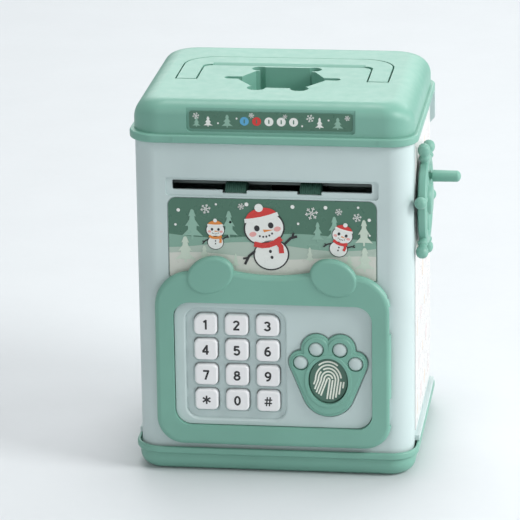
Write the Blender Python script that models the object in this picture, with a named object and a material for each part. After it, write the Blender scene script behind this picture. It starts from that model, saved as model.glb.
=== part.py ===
"""A toy safe coin bank: a keypad door with a paw-shaped print reader, a motor-fed note slot, a
coin well in the lid, a folding carry handle and a hand wheel that works the door latch.

Frame: +Z up, the door faces -Y, the origin is the centre of the flat underside.
Lengths in this file are millimetres; the shape helpers turn them into Blender's metres.
"""

import math

import bmesh
import bpy
from mathutils import Matrix, Vector

MM = 0.001

# ---------------------------------------------------------------- driving dimensions
GAP = 0.3                      # least gap between neighbouring pieces
WALL = 2.4                     # shell wall thickness

BODY_X = 66.0                  # half width of the body
BODY_Y = 57.0                  # half depth of the body
BODY_CORNER = 11.0             # plan radius of the body's upright edges
BODY_Z = (7.8, 166.7)          # shells, from inside the base to inside the lid
SEAM_Y = -44.5                 # where front and rear shells meet
LIP = 2.5                      # how far the base and lid rims stand out from the body

BASE_RIM_Z = (9.3, 12.7)
BASE_FLOOR = 2.2
LID_RIM_Z = (164.6, 168.6)
LID_TOP = 184.5
LID_EDGE = (7.0, 11.0, 13.0)   # radius of the lid's top edge at the front, sides and back

DOOR_X = 56.4                  # half width of the door frame
DOOR_Z = (15.2, 102.2)         # door frame without its ears
BROW_X = 18.3                  # half width of the dip between the ears
BROW_Z = (101.0, 102.8)        # its lowest point and its ends
EAR = (29.3, 100.6)            # centre of an ear, x and z
DOOR_Y = (-62.0, -57.3)        # frame front and back
PANEL_X = 47.5                 # half width of the hole in the frame
PANEL_Z = (24.9, 87.1)
PANEL_Y = -59.5                # face of the panel inside the frame
HINGE = (54.1, -59.65)         # door pivot line, x and y
FRAME_STEP = (1.15, 1.9)         # how far and how deep the frame steps in at its back edge
HINGE_LUG_Z = ((73.8, 86.7), (27.8, 40.7))
PANEL_FLANGE_Y = (-57.0, -55.0)
DOOR_BACK_Y = -46.0            # rear face of the door's back cover
BOARD_Y = (-50.2, -48.8)
STRIKER_Z = (79.5, 34.5)       # underside of each striker tab on the door
STRIKER_X = (-48.6, -42.8)

KEY_COLUMNS = (-32.3, -17.4, -2.5)
KEY_ROWS = (75.6, 62.95, 50.3, 37.65)
KEY_SIZE = (11.1, 10.3)
KEY_NAMES = ("1", "2", "3", "4", "5", "6", "7", "8", "9", "star", "0", "hash")
WELL_X = (-41.8, 5.8)          # keypad well in the panel
WELL_Z = (28.2, 83.3)

PAW_CENTRE = (26.5, 49.4)      # x and z of the oval print reader
TOES = ((-13.1, 8.9), (-5.7, 15.7), (5.7, 15.7), (13.1, 8.9))
TOE_RADIUS = 3.4

SLOT_X = 47.3                  # note slot half width
SLOT_Z = (141.2, 146.0)
ROLLER_X = 17.7                # centre of each feed roller
ROLLER_WIDTH = 10.2
FEED = (-48.0, 137.4, 6.0)     # feed shaft y, z and roller radius
PINCH = (-48.0, 148.8, 5.0)    # pinch shaft y, z and roller radius
IDLER = (-40.38, 133.0)        # idler stud y and z
MOTOR = (-43.0, 120.69)        # motor shaft y and z

WHEEL = (-24.0, 129.9)         # wheel shaft y and z
WHEEL_SPOKE_START = 12.0       # angle of the first spoke, from the front, upwards
LATCH_TEETH = 14               # teeth of the pinion on the wheel shaft, module 1
LATCH_X = (-60.3, -57.3)
PLUNGER = (-58.8, 73.0)        # lock plunger x and z

HANDLE_X = (41.3, 50.9)        # inner and outer side of a handle leg
HANDLE_PIVOT = (-12.5, 182.3)  # y and z
HANDLE_BACK = 28.0
HANDLE_BAR = 14.6              # depth of the grip bar
HANDLE_Z = (180.2, 184.6)

BATTERY_X = 29.0               # half width of the battery hole
BATTERY_Z = (24.0, 82.0)
BATTERY_SCREW_Z = 78.0
SWITCH = (43.0, 79.5)          # power switch x and z
SPEAKER_Z = 112.0

GREEN = ("green_plastic", (0.20, 0.41, 0.33), 0.42, 0.0)
PALE = ("pale_plastic", (0.52, 0.64, 0.62), 0.45, 0.0)
WHITE = ("key_white", (0.86, 0.86, 0.87), 0.38, 0.0)
PRINT = ("printed_sheet", (0.18, 0.33, 0.26), 0.35, 0.0)
SIDE_PRINT = ("side_sheet", (0.88, 0.87, 0.86), 0.35, 0.0)
RUBBER = ("roller_rubber", (0.07, 0.17, 0.13), 0.7, 0.0)
GREY_RUBBER = ("membrane_rubber", (0.35, 0.37, 0.38), 0.8, 0.0)
STEEL = ("steel", (0.62, 0.63, 0.65), 0.3, 1.0)
NYLON = ("gear_nylon", (0.85, 0.84, 0.78), 0.5, 0.0)
BOARD = ("circuit_green", (0.05, 0.22, 0.10), 0.5, 0.0)
BLACK = ("black_plastic", (0.03, 0.03, 0.035), 0.5, 0.0)
LENS = ("lens_plastic", (0.55, 0.62, 0.61), 0.2, 0.0)

# ---------------------------------------------------------------- scene and materials
for old in list(bpy.data.objects):
    bpy.data.objects.remove(old, do_unlink=True)

bank = bpy.data.collections.new("toy_safe_bank")
cutters = bpy.data.collections.new("cutters")
bpy.context.scene.collection.children.link(bank)
bpy.context.scene.collection.children.link(cutters)


def material(finish):
    """The Principled material for a (name, colour, roughness, metallic) finish."""
    name, colour, roughness, metallic = finish
    found = bpy.data.materials.get(name)
    if found:
        return found
    made = bpy.data.materials.new(name)
    made.use_nodes = True
    shader = made.node_tree.nodes["Principled BSDF"]
    shader.inputs["Base Color"].default_value = (*colour, 1)
    shader.inputs["Roughness"].default_value = roughness
    shader.inputs["Metallic"].default_value = metallic
    return made


def keep(obj, name, finish):
    """Puts a finished mesh object in the part's collection under its node name."""
    for home in list(obj.users_collection):
        home.objects.unlink(obj)
    bank.objects.link(obj)
    obj.name = name
    obj.data.name = name
    obj.data.materials.clear()
    obj.data.materials.append(material(finish))
    obj.data.shade_smooth()
    obj.data.set_sharp_from_angle(angle=math.radians(30))
    return obj


# ---------------------------------------------------------------- shape helpers
def mesh_object(bm):
    """A loose object from a bmesh in millimetres, held in the cutters' collection until kept."""
    bmesh.ops.scale(bm, vec=(MM, MM, MM), verts=bm.verts)
    bmesh.ops.recalc_face_normals(bm, faces=bm.faces)
    mesh = bpy.data.meshes.new("shape")
    bm.to_mesh(mesh)
    bm.free()
    obj = bpy.data.objects.new("shape", mesh)
    cutters.objects.link(obj)
    return obj


def cube_mesh(x, y, z):
    """A bmesh box between the given (low, high) pairs."""
    bm = bmesh.new()
    bmesh.ops.create_cube(bm, size=1.0)
    size = Vector((x[1] - x[0], y[1] - y[0], z[1] - z[0]))
    centre = Vector((x[0] + x[1], y[0] + y[1], z[0] + z[1])) / 2
    bmesh.ops.scale(bm, vec=size, verts=bm.verts)
    bmesh.ops.translate(bm, vec=centre, verts=bm.verts)
    return bm


def box(x, y, z):
    return mesh_object(cube_mesh(x, y, z))


def edges_where(bm, test):
    return [e for e in bm.edges if test(e.verts[0].co, e.verts[1].co)]


def rounded_box(x, y, z, corner, steps=4, top=0.0, bottom=0.0, edge_steps=4):
    """A box with round upright edges, and if asked a round top or bottom edge."""
    bm = cube_mesh(x, y, z)
    upright = edges_where(bm, lambda a, b: abs(a.z - b.z) > 1e-4)
    bmesh.ops.bevel(bm, geom=upright, offset=corner, segments=steps, profile=0.5, affect="EDGES")
    for radius, level in ((top, z[1]), (bottom, z[0])):
        if radius:
            loop = edges_where(
                bm, lambda a, b: abs(a.z - level) < 1e-4 and abs(b.z - level) < 1e-4)
            bmesh.ops.bevel(
                bm, geom=loop, offset=radius, segments=edge_steps, profile=0.5, affect="EDGES")
    return mesh_object(bm)


def rod(axis, centre, radius, span, sides=16, turn=0.0):
    """A cylinder along axis "X", "Y" or "Z"; centre gives the other two coordinates in order."""
    bm = bmesh.new()
    bmesh.ops.create_cone(
        bm, cap_ends=True, segments=sides, radius1=radius, radius2=radius,
        depth=span[1] - span[0], matrix=Matrix.Rotation(math.radians(turn), 4, "Z"))
    middle = (span[0] + span[1]) / 2
    if axis == "X":
        place = Matrix.Translation((middle, *centre)) @ Matrix.Rotation(math.pi / 2, 4, "Y")
    elif axis == "Y":
        place = Matrix.Translation((centre[0], middle, centre[1]))
        place = place @ Matrix.Rotation(math.pi / 2, 4, "X")
    else:
        place = Matrix.Translation((*centre, middle))
    bmesh.ops.transform(bm, matrix=place, verts=bm.verts)
    return mesh_object(bm)


def sheet(outline, span, plane):
    """A flat outline given as (u, v) points, filled and thickened over span.

    plane "XY" thickens along Z, "XZ" along Y and "YZ" along X.
    """
    curve = bpy.data.curves.new("outline", "CURVE")
    curve.dimensions = "2D"
    curve.fill_mode = "BOTH"
    curve.extrude = (span[1] - span[0]) / 2 * MM
    spline = curve.splines.new("POLY")
    spline.points.add(len(outline) - 1)
    for point, (u, v) in zip(spline.points, outline):
        point.co = (u * MM, v * MM, 0, 1)
    spline.use_cyclic_u = True
    flat = bpy.data.objects.new("outline", curve)
    cutters.objects.link(flat)
    bpy.context.view_layer.update()
    graph = bpy.context.evaluated_depsgraph_get()
    mesh = bpy.data.meshes.new_from_object(flat.evaluated_get(graph))
    bpy.data.objects.remove(flat, do_unlink=True)
    turn = {
        "XY": Matrix.Identity(4),
        "XZ": Matrix.Rotation(math.pi / 2, 4, "X"),
        "YZ": Matrix.Rotation(math.pi / 2, 4, "Z") @ Matrix.Rotation(math.pi / 2, 4, "X"),
    }[plane]
    normal = {"XY": (0, 0, 1), "XZ": (0, 1, 0), "YZ": (1, 0, 0)}[plane]
    shift = Vector(normal) * (span[0] + span[1]) / 2 * MM
    mesh.transform(Matrix.Translation(shift) @ turn)
    bm = bmesh.new()
    bm.from_mesh(mesh)
    bmesh.ops.remove_doubles(bm, verts=bm.verts, dist=1e-6)
    bmesh.ops.recalc_face_normals(bm, faces=bm.faces)
    bm.to_mesh(mesh)
    bm.free()
    obj = bpy.data.objects.new("shape", mesh)
    cutters.objects.link(obj)
    return obj


def combine(target, others, operation):
    """Applies one exact Boolean of target with each of others, which are used up."""
    for other in others:
        step = target.modifiers.new("step", "BOOLEAN")
        step.operation = operation
        step.solver = "EXACT"
        step.object = other
        bpy.context.view_layer.update()
        graph = bpy.context.evaluated_depsgraph_get()
        result = bpy.data.meshes.new_from_object(target.evaluated_get(graph))
        target.modifiers.clear()
        target.data = result
        bpy.data.objects.remove(other, do_unlink=True)
    return target


def join(target, *others):
    return combine(target, others, "UNION")


def cut(target, *others):
    return combine(target, others, "DIFFERENCE")


# ---------------------------------------------------------------- outlines
def arc(centre, radius, start, end, steps=4):
    """Points on a circle from start to end degrees, both ends included."""
    spread = [math.radians(start + (end - start) * i / steps) for i in range(steps + 1)]
    return [(centre[0] + radius * math.cos(a), centre[1] + radius * math.sin(a)) for a in spread]


def ellipse(centre, across, up, tilt=0.0, steps=24):
    """Points on an ellipse, its axes turned by tilt degrees."""
    c, s = math.cos(math.radians(tilt)), math.sin(math.radians(tilt))
    ring = []
    for i in range(steps):
        a = 2 * math.pi * i / steps
        u, v = across * math.cos(a), up * math.sin(a)
        ring.append((centre[0] + u * c - v * s, centre[1] + u * s + v * c))
    return ring


def rounded(u, v, radius, steps=4):
    """A rectangle between (low, high) pairs. radius is one value or one each for the corners
    low-low, high-low, high-high and low-high."""
    radii = radius if isinstance(radius, tuple) else (radius,) * 4
    corners = ((u[0], v[0], 1, 1, 180), (u[1], v[0], -1, 1, 270),
               (u[1], v[1], -1, -1, 0), (u[0], v[1], 1, -1, 90))
    ring = []
    for (cu, cv, du, dv, start), r in zip(corners, radii):
        ring += arc((cu + du * r, cv + dv * r), r, start, start + 90, steps)
    return ring


def hull(points):
    """The tightest outline with no hollows around the points."""
    ordered = sorted(set((round(u, 6), round(v, 6)) for u, v in points))
    ring = []
    for run in (ordered, ordered[::-1]):
        side = []
        for p in run:
            while len(side) > 1:
                (au, av), (bu, bv) = side[-2], side[-1]
                if (bu - au) * (p[1] - av) - (bv - av) * (p[0] - au) > 0:
                    break
                side.pop()
            side.append(p)
        ring += side[:-1]
    return ring


def inset(ring, depth):
    """The closed outline moved inwards by a small depth; it must run anticlockwise."""
    moved = []
    for i, (u, v) in enumerate(ring):
        before, after = ring[i - 1], ring[(i + 1) % len(ring)]
        along_u, along_v = after[0] - before[0], after[1] - before[1]
        size = math.hypot(along_u, along_v)
        moved.append((u - along_v / size * depth, v + along_u / size * depth))
    return moved


def gear(centre, teeth, module, first_tooth):
    """A spur gear's outline with straight-flanked teeth and running clearance. The first
    tooth's middle lies at first_tooth degrees."""
    pitch_radius = teeth * module / 2
    tip, root = pitch_radius + 0.8 * module, pitch_radius - 1.2 * module
    share = 360 / teeth
    ring = []
    for i in range(teeth):
        middle = first_tooth + i * share
        for radius, offset in ((root, -0.29), (tip, -0.11), (tip, 0.11), (root, 0.29)):
            a = math.radians(middle + offset * share)
            ring.append((centre[0] + radius * math.cos(a), centre[1] + radius * math.sin(a)))
    return ring


def bearing(a, b):
    """Direction in degrees from point a to point b."""
    return math.degrees(math.atan2(b[1] - a[1], b[0] - a[0]))


# ---------------------------------------------------------------- casing
def shell_outline(front):
    """Plan of the front or rear shell: a U whose ends meet at the seam."""
    side = -1 if front else 1
    seam = SEAM_Y - GAP / 2 if front else SEAM_Y + GAP / 2
    inner = BODY_CORNER - WALL
    hub_x, hub_y = BODY_X - BODY_CORNER, side * (BODY_Y - BODY_CORNER)
    swing = -90 * -side
    ring = [(BODY_X, seam)]
    ring += arc((hub_x, hub_y), BODY_CORNER, 0, swing, 6)
    ring += arc((-hub_x, hub_y), BODY_CORNER, swing, 2 * swing, 6)
    ring += [(-BODY_X, seam), (-BODY_X + WALL, seam)]
    ring += arc((-hub_x, hub_y), inner, 2 * swing, swing, 6)
    ring += arc((hub_x, hub_y), inner, swing, 0, 6)
    ring += [(BODY_X - WALL, seam)]
    return ring


def make_front_shell():
    shell = sheet(shell_outline(front=True), BODY_Z, "XY")
    through = (-BODY_Y - 1, -BODY_Y + WALL + 1)
    face = -BODY_Y
    cuts = [
        sheet(rounded((-52.3, 52.0), (18.5, 96.8), 9.0), through, "XZ"),
        sheet(rounded((-SLOT_X, SLOT_X), SLOT_Z, 0.8, 2), through, "XZ"),
        sheet(rounded((-50.4, 50.4), (138.2, 147.3), 1.5, 2), (face - 1, face + 0.9), "XZ"),
        sheet(rounded((-49.8, 49.8), (97.9, 137.8), (0.8, 0.8, 4.2, 4.2)),
              (face - 1, face + 0.6), "XZ"),
    ]
    for middle in (-ROLLER_X, ROLLER_X):
        reach = ROLLER_WIDTH / 2 + 0.7
        cuts.append(box((middle - reach, middle + reach), through, (139.7, 142.0)))
    cut(shell, *cuts)
    for low, high in HINGE_LUG_Z:
        knuckle = rod("Z", HINGE, 1.35, (low, high), 12)
        neck = box((HINGE[0] - 0.8, HINGE[0] + 0.8), (HINGE[1] + 1.1, face + 1.2),
                   (low, high))
        join(shell, neck, knuckle)
        cut(shell, rod("Z", HINGE, 0.95, (low - 2, high + 2), 12))
    keep(shell, "front_shell", PALE)


def make_rear_shell():
    shell = sheet(shell_outline(front=False), BODY_Z, "XY")
    back = (BODY_Y - WALL - 1, BODY_Y + 1)
    join(shell, rod("X", WHEEL, 5.0, (-BODY_X + WALL - 0.6, -60.6 - GAP), 16))
    for low, high in ((60.0, 66.0), (102.0, 108.0)):
        join(shell, box((-BODY_X + WALL - 0.5, -55.2), (-40.4, -30.6), (low, high)))
        cut(shell, box((LATCH_X[0] - 0.35, LATCH_X[1] + 0.35), (-38.35, -32.65),
                       (low - 1, high + 1)))
    for side in (-1, 1):
        rib = sheet(((side * 65.4, 147.5), (side * 68.4, 151.0), (side * 68.4, 164.2),
                     (side * 65.4, 164.2)), (46.5, 50.5), "XZ")
        join(shell, rib)
        ledge = box((min(side * 65.4, side * 68.2), max(side * 65.4, side * 68.2)),
                    (-40.5, 44.5), (13.0, 15.6))
        join(shell, ledge)
    cut(
        shell,
        sheet(rounded((-BATTERY_X, BATTERY_X), BATTERY_Z, 3.0), back, "XZ"),
        rod("X", WHEEL, 4.3, (BODY_X - WALL - 1, BODY_X + 1), 16),
        rod("X", WHEEL, 2.25, (-BODY_X + 1.0, -58.0), 16),
    )
    for i in range(5):
        x = -10 + 5 * i
        cut(shell, box((x - 1, x + 1), back, (SPEAKER_Z - 10, SPEAKER_Z + 10)))
    cut(shell, box((SWITCH[0] - 4, SWITCH[0] + 4), back, (SWITCH[1] - 2, SWITCH[1] + 2)))
    keep(shell, "rear_shell", PALE)


def make_base_tray():
    tray = rounded_box((-67.0, 67.0), (-58.0, 58.0), (0.0, 12.7), 12.0, 6, bottom=6.5)
    rim = rounded_box((-BODY_X - LIP, BODY_X + LIP), (-BODY_Y - LIP, BODY_Y + LIP),
                      BASE_RIM_Z, BODY_CORNER + LIP, 6)
    join(tray, rim)
    seat = rounded_box((-BODY_X - 0.4, BODY_X + 0.4), (-BODY_Y - 0.4, BODY_Y + 0.4),
                       (BODY_Z[0] - GAP, 14), BODY_CORNER + 0.4, 6)
    hollow = rounded_box((-61, 61), (-52, 52), (BASE_FLOOR, 14), 8.0, 4)
    cut(tray, seat, hollow)
    keep(tray, "base_tray", GREEN)


def handle_outline(grow=0.0, reach=0.0):
    """Plan of the handle: a U whose legs run forward to the pivots.

    reach moves the bar's front edge forward, for the finger room in the lid's channel."""
    inner, outer = HANDLE_X[0] - grow, HANDLE_X[1] + grow
    tip = HANDLE_PIVOT[0] - 2.2 - grow
    back, front = HANDLE_BACK + grow, HANDLE_BACK - HANDLE_BAR - grow - reach
    ring = [(outer, tip)]
    ring += arc((outer - 16, back - 16), 16, 0, 90, 6)
    ring += arc((-outer + 16, back - 16), 16, 90, 180, 6)
    ring += [(-outer, tip), (-inner, tip)]
    ring += arc((-inner + 4, front - 4), 4, 180, 90, 3)
    ring += arc((inner - 4, front - 4), 4, 90, 0, 3)
    ring += [(inner, tip)]
    return ring


def well_shapes(grow=0.0):
    """Plans of the coin well: a block with a wedge at each side and a lobe at each corner."""
    shapes = [rounded((-12.6 - grow, 12.6 + grow), (-29.5 - grow, 9.2 + grow), 0.6, 1)]
    for side in (-1, 1):
        wedge = [(8.0, -27.0 - grow), (13.4 + 0.6 * grow, -26.2 - 0.6 * grow), (20.0 + grow, -15.6),
                 (20.9 + grow, -13.0), (20.2 + grow, -10.4), (14.4 + 0.8 * grow, 1.6 + 0.6 * grow),
                 (8.0, 3.0 + grow)]
        shapes.append([(side * u, v) for u, v in wedge])
        shapes.append(ellipse((side * 10.3, -29.9), 4.4 + grow, 4.3 + grow, 0, 20))
        shapes.append(ellipse((side * 13.2, 6.4), 3.7 + grow, 3.7 + grow, 0, 20))
    return shapes


def lid_profile(edge_low, edge_high, half, bottom):
    """Side or front view of the lid: square below, rounded above."""
    top = LID_TOP
    ring = [(-half, bottom), (half, bottom)]
    ring += arc((half - edge_high, top - edge_high), edge_high, 0, 90, 5)
    ring += arc((-half + edge_low, top - edge_low), edge_low, 90, 180, 5)
    return ring


def make_top_lid():
    front, side, back = LID_EDGE
    half_x, half_y = BODY_X + 0.6, BODY_Y + 0.6
    lid = rounded_box((-half_x, half_x), (-half_y, half_y), (LID_RIM_Z[0], LID_TOP),
                      BODY_CORNER + 3.0, 6, top=front, edge_steps=5)
    across = sheet(lid_profile(side, side, half_x, 160.0), (-70, 70), "XZ")
    along = sheet(lid_profile(front, back, half_y, 160.0), (-80, 80), "YZ")
    combine(lid, [across, along], "INTERSECT")
    rim = rounded_box((-BODY_X - LIP, BODY_X + LIP), (-BODY_Y - LIP, BODY_Y + LIP),
                      LID_RIM_Z, BODY_CORNER + LIP, 6)
    join(lid, rim)
    seat = rounded_box((-BODY_X - 0.4, BODY_X + 0.4), (-BODY_Y - 0.4, BODY_Y + 0.4),
                       (LID_RIM_Z[0] - 1, BODY_Z[1] + GAP), BODY_CORNER + 0.4, 6)
    hollow = rounded_box((-62.5, 62.5), (-54.0, 52.0), (LID_RIM_Z[0] - 1, LID_TOP - WALL),
                         BODY_CORNER, 4, top=10.0, edge_steps=3)
    cut(lid, seat, hollow)
    join(lid, *[sheet(shape, (166.0, LID_TOP - 1.2), "XY") for shape in well_shapes(1.8)])
    join(lid,
         sheet(handle_outline(2.4, 1.6), (177.4, LID_TOP - 1.3), "XY"),
         sheet(rounded((-30.0, 30.0), (-15.6, -7.4), 2.0, 2), (178.6, 183.0), "XY"))
    cut(lid, *[sheet(shape, (168.0, LID_TOP + 1), "XY") for shape in well_shapes()])
    cut(lid,
        sheet(handle_outline(0.6, 1.6), (HANDLE_Z[0] - 0.6, LID_TOP + 1), "XY"),
        sheet(rounded((-28.0, 28.0), (-13.6, -9.4), 2.0, 3), (180.5, LID_TOP + 1), "XY"),
        box((-16.0, 16.0), (-14.0, -9.0), (160.0, 170.0)),
        sheet(rounded((-39.8, 39.8), (170.1, 182.6), 1.6, 2), (-BODY_Y - 3, -BODY_Y + 0.6), "XZ"))
    for side in (-1, 1):
        middle = side * (HANDLE_X[0] + HANDLE_X[1]) / 2
        half = (HANDLE_X[1] - HANDLE_X[0]) / 2
        cut(lid, rod("X", HANDLE_PIVOT, 3.5, (middle - half - 0.5, middle + half + 0.5), 16),
            rod("X", HANDLE_PIVOT, 1.5, (middle - 8.3, middle + 8.3), 10))
    keep(lid, "top_lid", GREEN)


def make_labels():
    face = -BODY_Y
    keep(sheet(rounded((-49.4, 49.4), (98.3, 137.4), (0.6, 0.6, 3.8, 3.8)),
               (face + 0.1, face + 0.4), "XZ"), "picture_sticker", PRINT)
    keep(sheet(rounded((-38.4, 38.4), (171.4, 179.8), 1.0, 2), (face + 0.0, face + 0.4), "XZ"),
         "lid_sticker", PRINT)
    for side, name in ((-1, "left"), (1, "right")):
        x = (side * (BODY_X + 0.05), side * (BODY_X + 0.3))
        piece = box((min(x), max(x)), (-40.5, 43.5), (17.5, 161.5))
        if side > 0:
            cut(piece, rod("X", WHEEL, 6.0, (min(x) - 1, max(x) + 1), 16))
        keep(piece, "side_sticker_" + name, SIDE_PRINT)


# ---------------------------------------------------------------- carry handle
def make_handle():
    handle = sheet(handle_outline(), HANDLE_Z, "XY")
    front = HANDLE_BACK - HANDLE_BAR
    slope = [(front - 0.5, HANDLE_Z[1] + 0.4), (front - 0.5, HANDLE_Z[1] - 2.9),
             (front + 3.6, HANDLE_Z[1] + 0.4)]
    cut(handle, sheet(slope, (-37.2, 37.2), "YZ"))
    for side in (-1, 1):
        middle = side * (HANDLE_X[0] + HANDLE_X[1]) / 2
        cut(handle, rod("X", HANDLE_PIVOT, 1.45, (middle - 7, middle + 7), 10))
    keep(handle, "carry_handle", GREEN)
    for side, name in ((-1, "left"), (1, "right")):
        middle = side * (HANDLE_X[0] + HANDLE_X[1]) / 2
        keep(rod("X", HANDLE_PIVOT, 1.15, (middle - 7.6, middle + 7.6), 10),
             "handle_pin_" + name, STEEL)


# ---------------------------------------------------------------- note feed
def roller(name, shaft, middle, bore):
    y, z, radius = shaft
    piece = rod("X", (y, z), radius,
                (middle - ROLLER_WIDTH / 2, middle + ROLLER_WIDTH / 2), 24)
    cut(piece, rod("X", (y, z), bore, (middle - 8, middle + 8), 12))
    keep(piece, name, RUBBER)


def make_note_feed():
    feed_at, pinch_at = FEED[:2], PINCH[:2]
    left = sheet(rounded((-54.2, -38.0), (128.0, 156.0), 2.0, 2), (-52.0, -50.0), "YZ")
    cut(left, rod("X", feed_at, 2.3, (-54, -48), 12), rod("X", pinch_at, 1.8, (-54, -48), 12))
    keep(left, "roller_bracket_left", PALE)
    right = sheet(rounded((-54.2, -33.0), (110.0, 156.0), 2.0, 2), (50.0, 52.0), "YZ")
    join(right, rod("X", IDLER, 1.5, (51.5, 61.6), 12))
    cut(right, rod("X", feed_at, 2.3, (48, 54), 12), rod("X", pinch_at, 1.8, (48, 54), 12),
        rod("X", MOTOR, 2.6, (48, 54), 12))
    keep(right, "roller_bracket_right", PALE)

    feed_shaft = rod("X", feed_at, 2.0, (-53.0, 57.4), 12)
    join(feed_shaft, sheet(gear(feed_at, 12, 0.8, bearing(feed_at, IDLER)), (53.4, 57.0), "YZ"))
    keep(feed_shaft, "feed_shaft", STEEL)
    keep(rod("X", pinch_at, 1.5, (-53.0, 53.0), 12), "pinch_shaft", STEEL)
    for side, name in ((-1, "left"), (1, "right")):
        roller("feed_roller_" + name, FEED, side * ROLLER_X, 2.2)
        roller("pinch_roller_" + name, PINCH, side * ROLLER_X, 1.7)

    to_idler = bearing(feed_at, IDLER)
    small_first = to_idler + 180 + 180 / 10
    to_motor = bearing(IDLER, MOTOR)
    idler = sheet(gear(IDLER, 10, 0.8, small_first), (53.4, 58.2), "YZ")
    join(idler, sheet(gear(IDLER, 32, 0.6, to_motor), (58.0, 61.0), "YZ"))
    cut(idler, rod("X", IDLER, 1.7, (52, 63), 12))
    keep(idler, "idler_gear", NYLON)

    pinion = sheet(gear(MOTOR, 10, 0.6, to_motor + 180 + 180 / 10), (57.8, 61.2), "YZ")
    join(pinion, rod("X", MOTOR, 1.0, (49.9, 58.0), 12))
    keep(pinion, "motor_pinion", STEEL)

    motor = rod("X", MOTOR, 10.0, (24.5, 49.6), 24)
    motor_slab = box((20, 54), (MOTOR[0] - 7.5, MOTOR[0] + 7.5), (MOTOR[1] - 12, MOTOR[1] + 12))
    combine(motor, [motor_slab], "INTERSECT")
    keep(motor, "feed_motor", STEEL)

    guide = sheet(((-41.4, 140.2), (-21.0, 140.2), (-15.0, 136.2), (-14.2, 137.2),
                   (-20.6, 141.4), (-41.4, 141.4)), (-49.7, 49.7), "YZ")
    keep(guide, "note_guide", PALE)


# ---------------------------------------------------------------- hand wheel and latch
def make_wheel():
    y, z = WHEEL
    wheel = rod("X", WHEEL, 21.5, (67.6, 71.8), 36)
    cut(wheel, rod("X", WHEEL, 17.6, (70.2, 73.0), 36), rod("X", WHEEL, 17.6, (66.0, 68.8), 36))
    join(wheel, rod("X", WHEEL, 7.0, (67.6, 73.2), 24))
    for i in range(6):
        a = math.radians(WHEEL_SPOKE_START + 60 * i)
        way = Vector((0, -math.cos(a), math.sin(a)))
        hub = Vector((69.7, y, z))
        for radius, start, end in ((1.7, 6.0, 26.6), (2.3, 22.4, 24.4), (2.8, 25.6, 30.8)):
            bm = bmesh.new()
            bmesh.ops.create_cone(bm, cap_ends=True, segments=10, radius1=radius,
                                  radius2=radius, depth=end - start)
            turn = Vector((0, 0, 1)).rotation_difference(way).to_matrix().to_4x4()
            middle = hub + way * (start + end) / 2
            bmesh.ops.transform(bm, matrix=Matrix.Translation(middle) @ turn, verts=bm.verts)
            join(wheel, mesh_object(bm))
    join(wheel, rod("X", WHEEL, 4.0, (62.8, 68.0), 16))
    cut(wheel, rod("X", WHEEL, 2.2, (60.0, 71.2), 16), rod("X", crank_place(), 1.9, (68, 74), 12))
    keep(wheel, "hand_wheel", GREEN)
    peg = rod("X", crank_place(), 2.85, (72.5, 86.0), 16)
    join(peg, rod("X", crank_place(), 1.6, (69.4, 73.0), 12))
    keep(peg, "crank_peg", GREEN)


def crank_place():
    """y and z of the crank peg, on the third spoke."""
    a = math.radians(WHEEL_SPOKE_START + 120)
    return (WHEEL[0] - 12.3 * math.cos(a), WHEEL[1] + 12.3 * math.sin(a))


def make_latch():
    shaft = rod("X", WHEEL, 2.0, (-64.7, 70.9), 12)
    join(shaft, sheet(gear(WHEEL, LATCH_TEETH, 1.0, 180 + 180 / LATCH_TEETH),
                      (LATCH_X[0] - 0.3, LATCH_X[1] + 0.3), "YZ"))
    keep(shaft, "wheel_shaft", STEEL)

    pitch = math.pi
    rack_y = WHEEL[0] - LATCH_TEETH / 2
    edge = [(-38.0, 30.0), (-33.0, 30.0), (-33.0, 71.1), (-35.2, 71.1), (-35.2, 74.9),
            (-33.0, 74.9), (-33.0, 77.8), (-35.2, 77.8), (-35.2, 81.6), (-33.0, 81.6),
            (-33.0, 117.5), (rack_y - 1.2, 118.3)]
    for k in range(-3, 6):
        z = WHEEL[1] + k * pitch
        edge += [(rack_y - 1.2, z - 0.29 * pitch), (rack_y + 0.8, z - 0.11 * pitch),
                 (rack_y + 0.8, z + 0.11 * pitch), (rack_y - 1.2, z + 0.29 * pitch)]
    edge += [(rack_y - 1.2, 148.0), (-38.0, 148.0)]
    bar = sheet(edge, LATCH_X, "YZ")
    for z in STRIKER_Z:
        join(bar,
             box((LATCH_X[0], -44.8), (-42.6, -36.0), (z + 9.0, z + 12.5)),
             box((-47.2, -44.8), (-42.6, -39.8), (z + 2.4, z + 9.5)))
    keep(bar, "latch_bar", BLACK)

    x, z = PLUNGER
    body = box((-63.2, -54.6), (-28.5, -12.0), (z - 5, z + 5))
    cut(body, rod("Y", PLUNGER, 1.5, (-29.5, -16.0), 12))
    keep(body, "lock_solenoid", STEEL)
    keep(rod("Y", PLUNGER, 1.2, (-32.6, -18.5), 12), "lock_plunger", STEEL)


# ---------------------------------------------------------------- door
def front_edges(obj, y, width, steps):
    """Rounds the edges where the flat face at y meets its sides."""
    bm = bmesh.new()
    bm.from_mesh(obj.data)
    bmesh.ops.dissolve_limit(bm, angle_limit=math.radians(0.5), verts=bm.verts, edges=bm.edges)
    level = y * MM
    rim = []
    for edge in bm.edges:
        flat = all(abs(v.co.y - level) < 1e-6 for v in edge.verts)
        if flat and len(edge.link_faces) == 2:
            facing = [abs(face.normal.y) > 0.99 for face in edge.link_faces]
            if facing.count(True) == 1:
                rim.append(edge)
    bmesh.ops.bevel(bm, geom=rim, offset=width * MM, segments=steps, profile=0.5,
                    affect="EDGES", clamp_overlap=True)
    bm.to_mesh(obj.data)
    bm.free()
    return obj


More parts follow.
